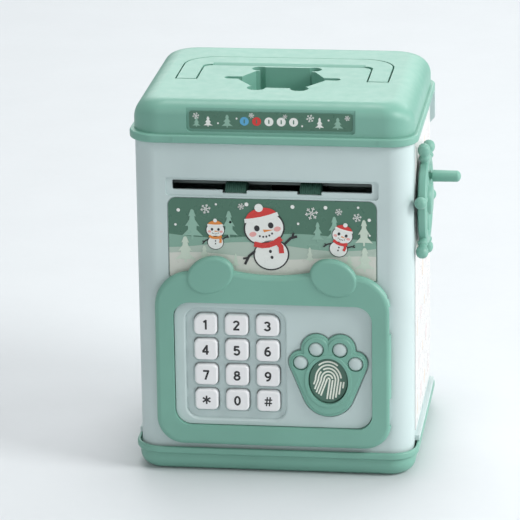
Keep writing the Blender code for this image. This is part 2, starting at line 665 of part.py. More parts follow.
def frame_outline():
    """Outside of the door frame: round corners below, wide shoulders and a dipped brow."""
    ring = arc((-DOOR_X + 13, DOOR_Z[0] + 13), 13.0, 180, 270, 5)
    ring += arc((DOOR_X - 13, DOOR_Z[0] + 13), 13.0, 270, 360, 5)
    ring += arc((DOOR_X - 18, DOOR_Z[1] - 18), 18.0, 0, 90, 6)
    for i in range(7):
        x = BROW_X - BROW_X * i / 3
        ring.append((x, BROW_Z[0] + (BROW_Z[1] - BROW_Z[0]) * (x / BROW_X) ** 2))
    return ring + arc((-DOOR_X + 18, DOOR_Z[1] - 18), 18.0, 90, 180, 6)


def make_door_frame():
    front, back = DOOR_Y
    step = back - FRAME_STEP[1]
    frame = sheet(frame_outline(), (front, step), "XZ")
    front_edges(frame, front, 2.4, 3)
    join(frame, sheet(inset(frame_outline(), FRAME_STEP[0]), (step - 1.0, back), "XZ"))
    for side in (-1, 1):
        centre = (side * EAR[0], EAR[1])
        ear = sheet(ellipse(centre, 11.6, 8.9, -22 * side, 28), (front - 0.7, step - 0.05), "XZ")
        front_edges(ear, front - 0.7, 1.3, 2)
        root = ellipse(centre, 11.6 - FRAME_STEP[0], 8.9 - FRAME_STEP[0], -22 * side, 28)
        join(frame, ear, sheet(root, (step - 1.0, back), "XZ"))
    cut(frame, sheet(rounded((-PANEL_X, PANEL_X), PANEL_Z, 8.0), (front - 2, back + 1), "XZ"))
    hinge_x, hinge_y = HINGE
    for low, high in HINGE_LUG_Z:
        room = (low - 0.4, high + 0.4)
        cut(frame,
            rod("Z", HINGE, 1.75, room, 16),
            box((hinge_x - 1.2, DOOR_X + 1), (hinge_y, back + 1), room),
            box((hinge_x, DOOR_X + 1), (hinge_y - 1.45, back + 1.5),
                (room[0] - 0.01, room[1] + 0.01)),
            rod("Z", HINGE, 0.95, (low - 5.0, high + 5.0), 12))
    keep(frame, "door_frame", GREEN)
    for (low, high), name in zip(HINGE_LUG_Z, ("upper", "lower")):
        keep(rod("Z", HINGE, 0.65, (low - 4.6, high + 4.6), 10), "hinge_pin_" + name, STEEL)


def key_places():
    """Name, x, z and corner radii of every key."""
    places = []
    for i, name in enumerate(KEY_NAMES):
        column, row = i % 3, i // 3
        radii = [1.8, 1.8, 1.8, 1.8]
        if row == 0 and column == 0:
            radii[3] = 3.6
        if row == 0 and column == 2:
            radii[2] = 3.6
        places.append((name, KEY_COLUMNS[column], KEY_ROWS[row], tuple(radii)))
    return places


def key_outline(x, z, radii, grow):
    half_x, half_z = KEY_SIZE[0] / 2 + grow, KEY_SIZE[1] / 2 + grow
    return rounded((x - half_x, x + half_x), (z - half_z, z + half_z), radii, 2)


def make_door_panel():
    low_y, high_y = PANEL_FLANGE_Y
    panel = sheet(rounded((-51.5, 51.0), (19.4, 96.0), 8.0), PANEL_FLANGE_Y, "XZ")
    raised = sheet(rounded((-PANEL_X + 0.35, PANEL_X - 0.35),
                           (PANEL_Z[0] + 0.35, PANEL_Z[1] - 0.35), 7.6), (PANEL_Y, low_y + 0.5), "XZ")
    join(panel, raised)
    cuts = [sheet(rounded(WELL_X, WELL_Z, 6.0), (PANEL_Y - 1, PANEL_Y + 1.8), "XZ")]
    for name, x, z, radii in key_places():
        cuts.append(sheet(key_outline(x, z, radii, 0.35), (PANEL_Y - 1, high_y + 1), "XZ"))
    cuts.append(sheet(ellipse(PAW_CENTRE, 9.55, 11.55), (PANEL_Y - 1, high_y + 1), "XZ"))
    cut(panel, *cuts)
    keep(panel, "door_panel", PALE)


def make_keys():
    back = PANEL_FLANGE_Y[1] + 0.3
    for name, x, z, radii in key_places():
        cap = sheet(key_outline(x, z, radii, 0.0), (-60.1, back + 0.4), "XZ")
        front_edges(cap, -60.1, 0.6, 1)
        join(cap, sheet(key_outline(x, z, radii, 0.8), (back, back + 0.8), "XZ"))
        keep(cap, "key_" + name, WHITE)


def make_door_inside():
    mat_y = (-51.4, -50.5)
    mat = sheet(rounded((-43.5, 8.5), (29.0, 84.0), 3.0, 2), mat_y, "XZ")
    for name, x, z, radii in key_places():
        join(mat, rod("Y", (x, z), 2.6, (-52.4, mat_y[1] - 0.2), 10))
    keep(mat, "key_mat", GREY_RUBBER)

    board = box((-45.0, 45.0), BOARD_Y, (24.5, 90.5))
    join(board, box((12.0, 26.0), (BOARD_Y[1] - 0.2, BOARD_Y[1] + 0.9), (66.0, 80.0)))
    join(board, rod("Y", PAW_CENTRE, 2.6, (-52.6, BOARD_Y[0] + 0.3), 10))
    keep(board, "circuit_board", BOARD)

    back = sheet(rounded((-51.0, 50.6), (19.9, 95.5), 7.5), (-54.7, DOOR_BACK_Y), "XZ")
    inside = sheet(rounded((-49.4, 49.0), (21.5, 93.9), 6.0), (-56, DOOR_BACK_Y - 1.6), "XZ")
    cut(back, inside)
    for z in STRIKER_Z:
        join(back, box(STRIKER_X, (DOOR_BACK_Y - 0.5, -37.6), (z, z + 2.0)))
        cut(back, box((-47.8, -44.2), (-43.3, -39.1), (z - 1, z + 3)))
    keep(back, "door_back_cover", PALE)


def make_print_reader():
    span = (-61.2, PANEL_Y - GAP)
    pad = ellipse((PAW_CENTRE[0], 43.8), 12.5, 12.5, 0, 28)
    for dx, dz in TOES:
        if abs(dx) > 10:
            pad += ellipse((PAW_CENTRE[0] + dx, PAW_CENTRE[1] + dz), 5.8, 5.8, 0, 24)
    paw = sheet(hull(pad), span, "XZ")
    for dx, dz in TOES:
        if abs(dx) < 10:
            centre = (PAW_CENTRE[0] + dx, PAW_CENTRE[1] + dz)
            join(paw, sheet(ellipse(centre, 7.3, 7.3, 0, 24), span, "XZ"))
    front_edges(paw, span[0], 0.7, 1)
    cut(paw, sheet(ellipse(PAW_CENTRE, 9.55, 11.55), (-63, -58), "XZ"))
    for i, (dx, dz) in enumerate(TOES):
        centre = (PAW_CENTRE[0] + dx, PAW_CENTRE[1] + dz)
        cut(paw, rod("Y", centre, TOE_RADIUS + 0.3, (-63, -60.2), 16))
        lens = rod("Y", centre, TOE_RADIUS, (-61.6, -60.5), 16)
        front_edges(lens, -61.6, 0.5, 1)
        keep(lens, "toe_lens_" + str(i + 1), LENS)
    keep(paw, "paw_bezel", GREEN)
    back = PANEL_FLANGE_Y[1] + 0.3
    pad = sheet(ellipse(PAW_CENTRE, 9.2, 11.2), (-60.6, back + 0.4), "XZ")
    join(pad, sheet(ellipse(PAW_CENTRE, 10.3, 12.3), (back, back + 0.8), "XZ"))
    keep(pad, "print_button", GREEN)


# ---------------------------------------------------------------- rear fittings
def make_rear_fittings():
    inner = BODY_Y - WALL
    box_y = (36.0, inner - GAP)
    holder = box((-31.5, 31.5), box_y, (21.0, 84.5))
    cut(holder, box((-27.6, 27.6), (38.2, 60), (25.0, 73.0)),
        box((-29.0, -4.0), (38.2, 60), (75.0, 82.5)), box((4.0, 29.0), (38.2, 60), (75.0, 82.5)),
        rod("Y", (0, BATTERY_SCREW_Z), 1.2, (40, 60), 8))
    keep(holder, "battery_box", BLACK)
    cover = sheet(rounded((-BATTERY_X + 0.4, BATTERY_X - 0.4),
                          (BATTERY_Z[0] + 0.4, BATTERY_Z[1] - 0.4), 2.6),
                  (inner + 0.1, BODY_Y - 0.2), "XZ")
    cut(cover, rod("Y", (0, BATTERY_SCREW_Z), 1.5, (50, 60), 8),
        rod("Y", (0, BATTERY_SCREW_Z), 2.6, (BODY_Y - 1.2, 60), 12))
    keep(cover, "battery_cover", PALE)
    screw = rod("Y", (0, BATTERY_SCREW_Z), 2.2, (BODY_Y - 0.95, BODY_Y - 0.25), 12)
    join(screw, rod("Y", (0, BATTERY_SCREW_Z), 0.9, (44.0, BODY_Y - 0.8), 8))
    cut(screw, box((-1.6, 1.6), (BODY_Y - 0.55, 60), (BATTERY_SCREW_Z - 0.3, BATTERY_SCREW_Z + 0.3)))
    keep(screw, "battery_cover_screw", STEEL)

    x, z = SWITCH
    body = box((x - 6, x + 6), (47.0, inner - GAP), (z - 4, z + 4))
    cut(body, box((x - 4, x + 4), (50.0, 60), (z - 2, z + 2)))
    keep(body, "switch_body", BLACK)
    keep(box((x - 3.6, x - 0.2), (50.4, BODY_Y + 0.8), (z - 1.65, z + 1.65)), "switch_knob", BLACK)

    speaker = rod("Y", (0, SPEAKER_Z), 14.0, (51.0, inner - GAP), 24)
    join(speaker, rod("Y", (0, SPEAKER_Z), 7.5, (45.0, 51.5), 20))
    keep(speaker, "speaker", BLACK)


make_front_shell()
make_rear_shell()
make_base_tray()
make_top_lid()
make_labels()
make_handle()
make_note_feed()
make_wheel()
make_latch()
make_door_frame()
make_door_panel()
make_keys()
make_door_inside()
make_print_reader()
make_rear_fittings()
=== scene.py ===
# %% [markdown]
# # A toy safe coin bank
# The bank is a moulded plastic safe about as tall as a hand. It has a keypad door with bear
# ears, a paw-shaped print reader, a slot that pulls notes in, a coin well in the lid, a carry
# handle and a small ship's wheel on the side. This lesson starts from the plain machine parts,
# which already turn and slide, and builds the finished surfaces around them.

import math

import bmesh
import bpy
from mathutils import Matrix, Vector


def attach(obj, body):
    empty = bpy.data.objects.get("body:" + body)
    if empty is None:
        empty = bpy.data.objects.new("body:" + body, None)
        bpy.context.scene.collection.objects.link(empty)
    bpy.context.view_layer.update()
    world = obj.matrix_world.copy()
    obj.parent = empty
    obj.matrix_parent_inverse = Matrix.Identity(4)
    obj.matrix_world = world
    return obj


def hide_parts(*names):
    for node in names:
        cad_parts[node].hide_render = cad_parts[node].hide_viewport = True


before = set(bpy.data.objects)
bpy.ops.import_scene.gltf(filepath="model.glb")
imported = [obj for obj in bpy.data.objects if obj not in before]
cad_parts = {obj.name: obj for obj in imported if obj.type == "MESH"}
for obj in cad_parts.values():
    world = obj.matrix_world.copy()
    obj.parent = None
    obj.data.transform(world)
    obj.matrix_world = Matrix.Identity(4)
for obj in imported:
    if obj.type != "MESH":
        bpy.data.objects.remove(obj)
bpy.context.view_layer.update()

# %% [markdown]
# ## Units and the finished pieces' collection
# A maker thinks of a bank this size in millimetres, and Blender in metres. One constant turns
# one into the other, so every size below can be read with a ruler in hand. Half-made shapes
# wait in a collection of their own until they are named and kept.

# %% Units and collections
MM = 0.001
finished = bpy.data.collections.new("finished_pieces")
workbench = bpy.data.collections.new("workbench")
for collection in (finished, workbench):
    bpy.context.scene.collection.children.link(collection)
print("one unit is", MM, "m")

# %% [markdown]
# ## The main sizes
# These are the sizes that several pieces share. The body is a tall box with round upright
# edges, and the door, slot and lid are all placed from its front face.

# %% Main sizes
BODY_X = 66.0
BODY_Y = 57.0
BODY_CORNER = 11.0
WALL = 2.4
BODY_Z = (7.8, 166.7)
SEAM_Y = -44.5
RIM = 2.5
LID_TOP = 184.5
DOOR_Y = (-62.0, -57.3)
PANEL_X = 47.5
PANEL_Z = (24.9, 87.1)
PANEL_Y = -59.5
PAW = (26.5, 49.4)
WHEEL = (-24.0, 129.9)
print("body", 2 * BODY_X, "x", 2 * BODY_Y, "mm")

# %% [markdown]
# ## Turning a sketch into a mesh
# Blender's bmesh module builds a mesh in memory. This helper scales the sketch from
# millimetres, makes all faces look outwards and hands back an object.

# %% A mesh from a sketch


def to_object(bm):
    bmesh.ops.scale(bm, vec=(MM, MM, MM), verts=bm.verts)
    bmesh.ops.recalc_face_normals(bm, faces=bm.faces)
    mesh = bpy.data.meshes.new("sketch")
    bm.to_mesh(mesh)
    bm.free()
    obj = bpy.data.objects.new("sketch", mesh)
    workbench.objects.link(obj)
    return obj


print("sketches go to", workbench.name)

# %% [markdown]
# ## Outlines
# Most of the bank is flat shapes with round corners, so an outline is the natural start. An
# outline is a list of points, and these helpers make arcs, ellipses and rounded rectangles.

# %% Arcs, ellipses and rounded rectangles


def arc(centre, radius, start, end, steps=8):
    angles = [math.radians(start + (end - start) * i / steps) for i in range(steps + 1)]
    return [(centre[0] + radius * math.cos(a), centre[1] + radius * math.sin(a)) for a in angles]


def ellipse(centre, across, up, tilt=0.0, steps=64):
    c = math.cos(math.radians(tilt))
    s = math.sin(math.radians(tilt))
    ring = []
    for i in range(steps):
        a = 2 * math.pi * i / steps
        u = across * math.cos(a)
        v = up * math.sin(a)
        ring.append((centre[0] + u * c - v * s, centre[1] + u * s + v * c))
    return ring


def rounded(u, v, radius, steps=8):
    radii = radius if isinstance(radius, tuple) else (radius,) * 4
    corners = ((u[0], v[0], 1, 1, 180), (u[1], v[0], -1, 1, 270),
               (u[1], v[1], -1, -1, 0), (u[0], v[1], 1, -1, 90))
    ring = []
    for (cu, cv, du, dv, start), r in zip(corners, radii):
        ring += arc((cu + du * r, cv + dv * r), r, start, start + 90, steps)
    return ring


def hull(points):
    """The outline a rubber band would take around the points."""
    ordered = sorted(set((round(u, 6), round(v, 6)) for u, v in points))

    def half(run):
        out = []
        for p in run:
            while len(out) > 1:
                (au, av), (bu, bv) = out[-2], out[-1]
                if (bu - au) * (p[1] - av) - (bv - av) * (p[0] - au) > 0:
                    break
                out.pop()
            out.append(p)
        return out[:-1]

    return half(ordered) + half(ordered[::-1])


print("a rounded square has", len(rounded((0, 1), (0, 1), 0.2)), "points")

# %% [markdown]
# ## Plates, rods, blocks and lofts
# A plate is an outline given a thickness. The plane says which way it faces: "XZ" is the plane
# of the door, "XY" the plane of the lid and "YZ" the plane of the side walls. A rod runs
# along one axis, and a loft skins a stack of outlines, like planks over the ribs of a boat.

# %% Plates, rods, blocks and lofts
TURNS = {
    "XY": Matrix.Identity(4),
    "XZ": Matrix.Rotation(math.pi / 2, 4, "X"),
    "YZ": Matrix.Rotation(math.pi / 2, 4, "Z") @ Matrix.Rotation(math.pi / 2, 4, "X"),
}
NORMALS = {"XY": Vector((0, 0, 1)), "XZ": Vector((0, 1, 0)), "YZ": Vector((1, 0, 0))}


def plate(outline, span, plane):
    bm = bmesh.new()
    ring = [bm.verts.new((u, v, 0)) for u, v in outline]
    face = bm.faces.new(ring)
    grown = bmesh.ops.extrude_face_region(bm, geom=[face])
    top = [v for v in grown["geom"] if isinstance(v, bmesh.types.BMVert)]
    bmesh.ops.translate(bm, vec=(0, 0, span[1] - span[0]), verts=top)
    offset = span[1] if plane == "XZ" else span[0]
    place = Matrix.Translation(NORMALS[plane] * offset) @ TURNS[plane]
    bmesh.ops.transform(bm, matrix=place, verts=bm.verts)
    return to_object(bm)


def block(x, y, z):
    return plate([(x[0], y[0]), (x[1], y[0]), (x[1], y[1]), (x[0], y[1])], z, "XY")


def rod(axis, centre, radius, span, sides=48):
    plane = {"X": "YZ", "Y": "XZ", "Z": "XY"}[axis]
    return plate(ellipse(centre, radius, radius, 0, sides), span, plane)


def loft(rings):
    bm = bmesh.new()
    rows = [[bm.verts.new(point) for point in ring] for ring in rings]
    for low, high in zip(rows, rows[1:]):
        for i in range(len(low)):
            j = (i + 1) % len(low)
            bm.faces.new((low[i], low[j], high[j], high[i]))
    bm.faces.new(rows[0][::-1])
    bm.faces.new(rows[-1])
    return to_object(bm)


def turned(profile, place, sides=40):
    """A lathe shape. The profile is (radius, height) pairs along +Z, then moved by place."""
    rings = []
    for radius, height in profile:
        rings.append([place @ Vector((u, v, height)) for u, v in
                      ellipse((0, 0), radius, radius, 0, sides)])
    return loft(rings)


print("planes:", ", ".join(TURNS))

# %% [markdown]
# ## Joining and cutting
# A moulded shell is easiest to describe as a solid with things added and taken away. The exact
# Boolean solver does this cleanly, and each step is applied at once so the next one starts
# from a plain mesh.

# %% Join and cut


def combine(target, others, operation):
    for other in others:
        step = target.modifiers.new("step", "BOOLEAN")
        step.operation = operation
        step.solver = "EXACT"
        step.object = other
        bpy.context.view_layer.update()
        graph = bpy.context.evaluated_depsgraph_get()
        result = bpy.data.meshes.new_from_object(target.evaluated_get(graph))
        target.modifiers.clear()
        target.data = result
        bpy.data.objects.remove(other, do_unlink=True)
    return target


def join(target, *others):
    return combine(target, others, "UNION")


def cut(target, *others):
    return combine(target, others, "DIFFERENCE")


def round_front(obj, y, width, steps=5):
    """Rounds the edges where the flat face at y meets its sides."""
    bm = bmesh.new()
    bm.from_mesh(obj.data)
    bmesh.ops.dissolve_limit(bm, angle_limit=math.radians(0.3), verts=bm.verts, edges=bm.edges)
    level = y * MM
    rim = []
    for edge in bm.edges:
        flat = all(abs(v.co.y - level) < 1e-6 for v in edge.verts)
        if flat and len(edge.link_faces) == 2:
            facing = [abs(face.normal.y) > 0.99 for face in edge.link_faces]
            if facing.count(True) == 1:
                rim.append(edge)
    bmesh.ops.bevel(bm, geom=rim, offset=width * MM, segments=steps, profile=0.5,
                    affect="EDGES", clamp_overlap=True)
    bm.to_mesh(obj.data)
    bm.free()
    return obj


print("helpers ready")

# %% [markdown]
# ## Keeping a piece
# A finished piece gets its name, its plastic, soft edges and smooth shading, and is tied to
# the moving group it belongs to. Moulded edges are never perfectly sharp, so a small Bevel
# modifier rounds them, and Weighted Normal keeps the broad faces looking flat.

# %% Keep a piece


def keep(obj, name, group, finish, nodes=(), edge=0.0, angle=32):
    for home in list(obj.users_collection):
        home.objects.unlink(obj)
    finished.objects.link(obj)
    obj.name = name
    obj.data.name = name
    obj.data.materials.clear()
    obj.data.materials.append(finish)
    obj.data.shade_smooth()
    if edge:
        soften = obj.modifiers.new("soft_edges", "BEVEL")
        soften.width = edge * MM
        soften.segments = 3
        soften.limit_method = "ANGLE"
        soften.angle_limit = math.radians(angle)
        soften.miter_outer = "MITER_ARC"
    else:
        obj.data.set_sharp_from_angle(angle=math.radians(angle))
    normals = obj.modifiers.new("flat_faces", "WEIGHTED_NORMAL")
    normals.keep_sharp = True
    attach(obj, group)
    if nodes:
        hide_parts(*nodes)
    return obj


print("pieces go to", finished.name)

# %% [markdown]
# # Finishes
# ## Moulded plastic
# ABS plastic from a steel mould has a fine spark-eroded grain, a soft sheen, and faint clouds
# of tone where the melt flowed. Three noise textures do this: a broad one shifts the colour a
# little, a middling one varies the gloss, and a very fine one feeds a Bump node for the grain.

# %% Moulded plastic


def noise(nodes, links, place, scale, detail, at):
    texture = nodes.new("ShaderNodeTexNoise")
    texture.inputs["Scale"].default_value = scale
    texture.inputs["Detail"].default_value = detail
    texture.location = at
    links.new(place.outputs["Object"], texture.inputs["Vector"])
    return texture


def spread(nodes, links, source, low, high, at):
    """Maps a 0 to 1 texture onto the range low to high."""
    scale = nodes.new("ShaderNodeMapRange")
    scale.inputs["From Min"].default_value = 0.25
    scale.inputs["From Max"].default_value = 0.75
    scale.inputs["To Min"].default_value = low
    scale.inputs["To Max"].default_value = high
    scale.location = at
    links.new(source, scale.inputs["Value"])
    return scale


def shade(colour, factor):
    return tuple(min(1.0, channel * factor) for channel in colour)


def blend_colours(nodes, links, source, first, second, at):
    ramp = nodes.new("ShaderNodeValToRGB")
    ramp.color_ramp.elements[0].position = 0.3
    ramp.color_ramp.elements[1].position = 0.7
    ramp.color_ramp.elements[0].color = (*first, 1)
    ramp.color_ramp.elements[1].color = (*second, 1)
    ramp.location = at
    links.new(source, ramp.inputs["Fac"])
    return ramp


def plastic(name, colour, gloss=0.42, grain=0.05, cloud=0.05, metal=0.0, scale=2600.0):
    made = bpy.data.materials.new(name)
    made.use_nodes = True
    nodes = made.node_tree.nodes
    links = made.node_tree.links
    surface = nodes["Principled BSDF"]
    surface.inputs["Metallic"].default_value = metal
    place = nodes.new("ShaderNodeTexCoord")
    place.location = (-1100, 0)
    broad = noise(nodes, links, place, 22.0, 3.0, (-900, 300))
    middle = noise(nodes, links, place, 190.0, 4.0, (-900, 0))
    fine = noise(nodes, links, place, scale, 2.0, (-900, -300))
    tone = blend_colours(nodes, links, broad.outputs["Fac"], shade(colour, 1 - cloud),
                         shade(colour, 1 + cloud), (-600, 300))
    links.new(tone.outputs["Color"], surface.inputs["Base Color"])
    sheen = spread(nodes, links, middle.outputs["Fac"], gloss - 0.06, gloss + 0.06, (-600, 0))
    links.new(sheen.outputs["Result"], surface.inputs["Roughness"])
    bump = nodes.new("ShaderNodeBump")
    bump.inputs["Strength"].default_value = grain
    bump.inputs["Distance"].default_value = 0.0001
    bump.location = (-600, -300)
    links.new(fine.outputs["Fac"], bump.inputs["Height"])
    links.new(bump.outputs["Normal"], surface.inputs["Normal"])
    return made


pale = plastic("pale_shell_plastic", (0.53, 0.635, 0.63), 0.42, 0.10)
green = plastic("green_trim_plastic", (0.185, 0.405, 0.325), 0.42, 0.10)
pad_green = plastic("reader_green_plastic", (0.075, 0.165, 0.125), 0.4, 0.08)
key_white = plastic("key_white_plastic", (0.86, 0.86, 0.87), 0.32, 0.05, 0.015)
toe_clear = plastic("toe_lens_plastic", (0.52, 0.62, 0.61), 0.18, 0.02, 0.03)
black = plastic("black_plastic", (0.025, 0.025, 0.028), 0.5, 0.12)
print("plastics:", pale.name, green.name, key_white.name)

# %% [markdown]
# ## Rubber, steel, nylon and circuit board
# The same recipe serves for the working parts inside: more grain and less gloss make rubber,
# a metallic surface with brushed grain makes steel, and a milky cream makes nylon gears.

# %% Rubber, steel, nylon and circuit board
roller_rubber = plastic("roller_rubber", (0.06, 0.16, 0.12), 0.72, 0.35)
dome_rubber = plastic("dome_rubber", (0.35, 0.37, 0.38), 0.8, 0.3)
steel = plastic("bright_steel", (0.62, 0.63, 0.65), 0.3, 0.08, 0.03, 1.0, 5200.0)
nylon = plastic("gear_nylon", (0.85, 0.84, 0.78), 0.5, 0.08)
board = plastic("circuit_board_green", (0.03, 0.17, 0.07), 0.38, 0.25)
print("working finishes ready")

# %% [markdown]
# ## Inks and printed film
# The stickers are printed film under a clear gloss coat. Each ink is its own finish, and a
# printed dot pattern shows as a slight mottling under the gloss.

# %% Inks and printed film


def ink(name, colour, gloss=0.3):
    return plastic(name, colour, gloss, 0.03, 0.04, 0.0, 900.0)


sky_ink = ink("sky_green_ink", (0.068, 0.170, 0.118))
hill_ink = ink("far_hill_ink", (0.22, 0.39, 0.31))
near_ink = ink("near_hill_ink", (0.42, 0.52, 0.45))
snow_ink = ink("snow_ink", (0.62, 0.64, 0.58))
white_ink = ink("white_ink", (0.8, 0.82, 0.79))
pine_ink = ink("pine_ink", (0.26, 0.45, 0.36))
pale_pine_ink = ink("pale_pine_ink", (0.56, 0.66, 0.56))
black_ink = ink("black_ink", (0.02, 0.02, 0.022))
red_ink = ink("red_ink", (0.62, 0.04, 0.035))
orange_ink = ink("orange_ink", (0.72, 0.25, 0.05))
cheek_ink = ink("cheek_pink_ink", (0.78, 0.38, 0.36))
blue_ink = ink("blue_ink", (0.1, 0.38, 0.62))
cream_ink = ink("cream_ink", (0.8, 0.83, 0.74))
film_white = ink("side_film_white", (0.7, 0.69, 0.68))
pink_ink = ink("faint_pink_ink", (0.7, 0.6, 0.59))
peach_ink = ink("faint_peach_ink", (0.71, 0.61, 0.52))
print("inks ready")

# %% [markdown]
# # The casing
# ## The lid
# The lid is a shallow dome. Its front edge is tight, its sides and back roll over more gently,
# and a rim stands proud where it sits on the body. A loft with a different radius on each
# side gives that roll, and the coin well, the handle's channel and the sticker's recess are
# then cut into the solid.

# %% The lid's outer dome


def dome_ring(turn):
    """One ring of the dome, from its wall at 0 degrees to its flat top at 90."""
    front, side, back = 7.0, 11.0, 13.0
    a = math.radians(turn)
    inset = [r * (1 - math.cos(a)) for r in (front, side, back)]
    level = [LID_TOP - r + r * math.sin(a) for r in (front, side, back)]
    corner = 14.0 - 0.45 * inset[1]
    ring = rounded((-BODY_X - 0.6 + inset[1], BODY_X + 0.6 - inset[1]),
                   (-BODY_Y - 0.6 + inset[0], BODY_Y + 0.6 - inset[2]), corner, 10)
    points = []
    for i, (x, y) in enumerate(ring):
        quarter, step = divmod(i, 11)
        facing = math.radians(180 + 90 * quarter + 9 * step)
        along = level[0] if math.sin(facing) < 0 else level[2]
        share = math.cos(facing) ** 2
        points.append((x, y, level[1] * share + along * (1 - share)))
    return points


def plan_ring(half_x, half_y, corner, z, steps=10):
    return [(u, v, z) for u, v in rounded((-half_x, half_x), (-half_y, half_y), corner, steps)]


def rim_band(low, high, round_off=0.9):
    """A proud band around the body with rounded upper and lower edges."""
    rings = []
    for i in range(5):
        a = math.radians(-90 + 22.5 * i)
        inset = round_off * (1 - math.cos(a))
        rings.append((inset, low + round_off + round_off * math.sin(a)))
    for i in range(5):
        a = math.radians(22.5 * i)
        inset = round_off * (1 - math.cos(a))
        rings.append((inset, high - round_off + round_off * math.sin(a)))
    return loft([plan_ring(BODY_X + RIM - inset, BODY_Y + RIM - inset,
                           BODY_CORNER + RIM - inset, z) for inset, z in rings])


lid = loft([plan_ring(BODY_X + 0.6, BODY_Y + 0.6, 14.0, 164.7)]
           + [dome_ring(7.5 * i) for i in range(13)])
join(lid, rim_band(164.6, 168.6))
print("lid dome", len(lid.data.polygons), "faces")

# %% [markdown]
# ## Coin well, handle channel and hollow
# The well is a block with a wedge at each side and a round lobe at each corner, and a thin slit
# crosses it for folded notes. Simple outlines cut one after another make this shape, which
# would be hard to draw in one go. The handle lies flush in a channel with finger room in front
# of its bar. The lid is hollow underneath, with a skin around each of these pockets.

# %% Hollow and pockets of the lid
PIVOT = (-12.5, 182.3)
HANDLE_LEG = (41.3, 50.9)
HANDLE_BACK = 28.0
HANDLE_BAR = 14.6


def handle_outline(grow=0.0, reach=0.0, steps=14):
    inner = HANDLE_LEG[0] - grow
    outer = HANDLE_LEG[1] + grow
    tip = PIVOT[0] - 2.2 - grow
    back = HANDLE_BACK + grow
    front = HANDLE_BACK - HANDLE_BAR - grow - reach
    ring = [(outer, tip)]
    ring += arc((outer - 16, back - 16), 16, 0, 90, steps)
    ring += arc((-outer + 16, back - 16), 16, 90, 180, steps)
    ring += [(-outer, tip), (-inner, tip)]
    ring += arc((-inner + 4, front - 4), 4, 180, 90, 8)
    ring += arc((inner - 4, front - 4), 4, 90, 0, 8)
    return ring + [(inner, tip)]


def well_shapes(grow=0.0):
    shapes = [rounded((-12.6 - grow, 12.6 + grow), (-29.5 - grow, 9.2 + grow), 0.6, 3)]
    for side in (-1, 1):
        wedge = [(8.0, -27.0 - grow), (13.4 + 0.6 * grow, -26.2 - 0.6 * grow),
                 (20.0 + grow, -15.6), (20.7 + grow, -14.3), (20.9 + grow, -13.0),
                 (20.7 + grow, -11.7), (20.2 + grow, -10.4),
                 (14.4 + 0.8 * grow, 1.6 + 0.6 * grow), (8.0, 3.0 + grow)]
        shapes.append([(side * u, v) for u, v in wedge])
        shapes.append(ellipse((side * 10.3, -29.9), 4.4 + grow, 4.3 + grow, 0, 48))
        shapes.append(ellipse((side * 13.2, 6.4), 3.7 + grow, 3.7 + grow, 0, 48))
    return shapes


seat = plate(rounded((-66.4, 66.4), (-57.4, 57.4), 11.4, 10), (163.0, 167.0), "XY")
hollow = plate(rounded((-60.5, 60.5), (-53.0, 50.0), 9.0), (163.5, 182.1), "XY")
round_top = bmesh.new()
round_top.from_mesh(hollow.data)
top_edges = [e for e in round_top.edges if all(v.co.z > 0.182 for v in e.verts)]
bmesh.ops.bevel(round_top, geom=top_edges, offset=8 * MM, segments=5, profile=0.5,
                affect="EDGES")
round_top.to_mesh(hollow.data)
round_top.free()
cut(lid, seat, hollow)
join(lid, *[plate(shape, (166.0, 183.3), "XY") for shape in well_shapes(1.8)])
join(lid, plate(handle_outline(2.4, 1.6), (177.4, 183.2), "XY"),
     plate(rounded((-30, 30), (-15.6, -7.4), 2.0), (178.6, 183.0), "XY"))
cut(lid, *[plate(shape, (168.0, 186.0), "XY") for shape in well_shapes()])
cut(lid, plate(handle_outline(0.6, 1.6), (179.6, 186.0), "XY"),
    plate(rounded((-28, 28), (-13.6, -9.4), 2.0), (180.5, 186.0), "XY"),
    block((-16, 16), (-14, -9), (160, 170)))
for side in (-1, 1):
    middle = side * (HANDLE_LEG[0] + HANDLE_LEG[1]) / 2
    cut(lid, rod("X", PIVOT, 3.5, (middle - 5.3, middle + 5.3), 32),
        rod("X", PIVOT, 1.5, (middle - 8.3, middle + 8.3), 24))
print("lid pockets cut")

# %% [markdown]
# ## The sticker recess and snap marks
# The front of the lid has a shallow tray for a printed strip. The rim shows two tiny vertical
# snap marks where the clips behind it pull the plastic in.

# %% The sticker recess and snap marks
cut(lid, plate(rounded((-39.8, 39.8), (170.1, 182.6), 1.8), (-60.0, -56.4), "XZ"))
for x in (-46.0, 51.0):
    join(lid, plate(rounded((x - 0.5, x + 0.5), (165.2, 168.0), 0.45, 4), (-59.75, -59.0), "XZ"))
keep(lid, "domed_lid", "casing", green, ["top_lid"], edge=0.45)
print("lid kept with", len(lid.data.polygons), "faces")

# %% [markdown]
# ## The base tray
# The tray is the mirror of the lid: a proud rim on top and sides that roll under to a smaller
# flat foot, so the bank seems to float a little above the table.

# %% The base tray
rings = []
for i in range(9):
    a = math.radians(11.25 * i)
    inset = 6.5 * (1 - math.sin(a))
    rings.append(plan_ring(67.0 - inset, 58.0 - inset, 12.0 - inset, 6.5 - 6.5 * math.cos(a)))
rings.append(plan_ring(67.0, 58.0, 12.0, 12.5))
base = loft(rings)
join(base, rim_band(9.3, 12.7))
cut(base, plate(rounded((-66.4, 66.4), (-57.4, 57.4), 11.4, 10), (7.5, 14.0), "XY"),
    plate(rounded((-67.0, 67.0), (-58.0, 58.0), 12.0, 10), (10.6, 14.0), "XY"),
    plate(rounded((-61, 61), (-52, 52), 8.0), (2.2, 14.0), "XY"))
keep(base, "base_tray_shell", "casing", green, ["base_tray"], edge=0.4)
print("base kept")

# %% [markdown]
# ## Front and rear shells
# The body is moulded in two U-shaped shells that meet in a seam just behind the front corner.
# The front shell carries the door opening, the note slot with its bevelled lip, and the two
# hinge knuckles.

# %% Shell plan


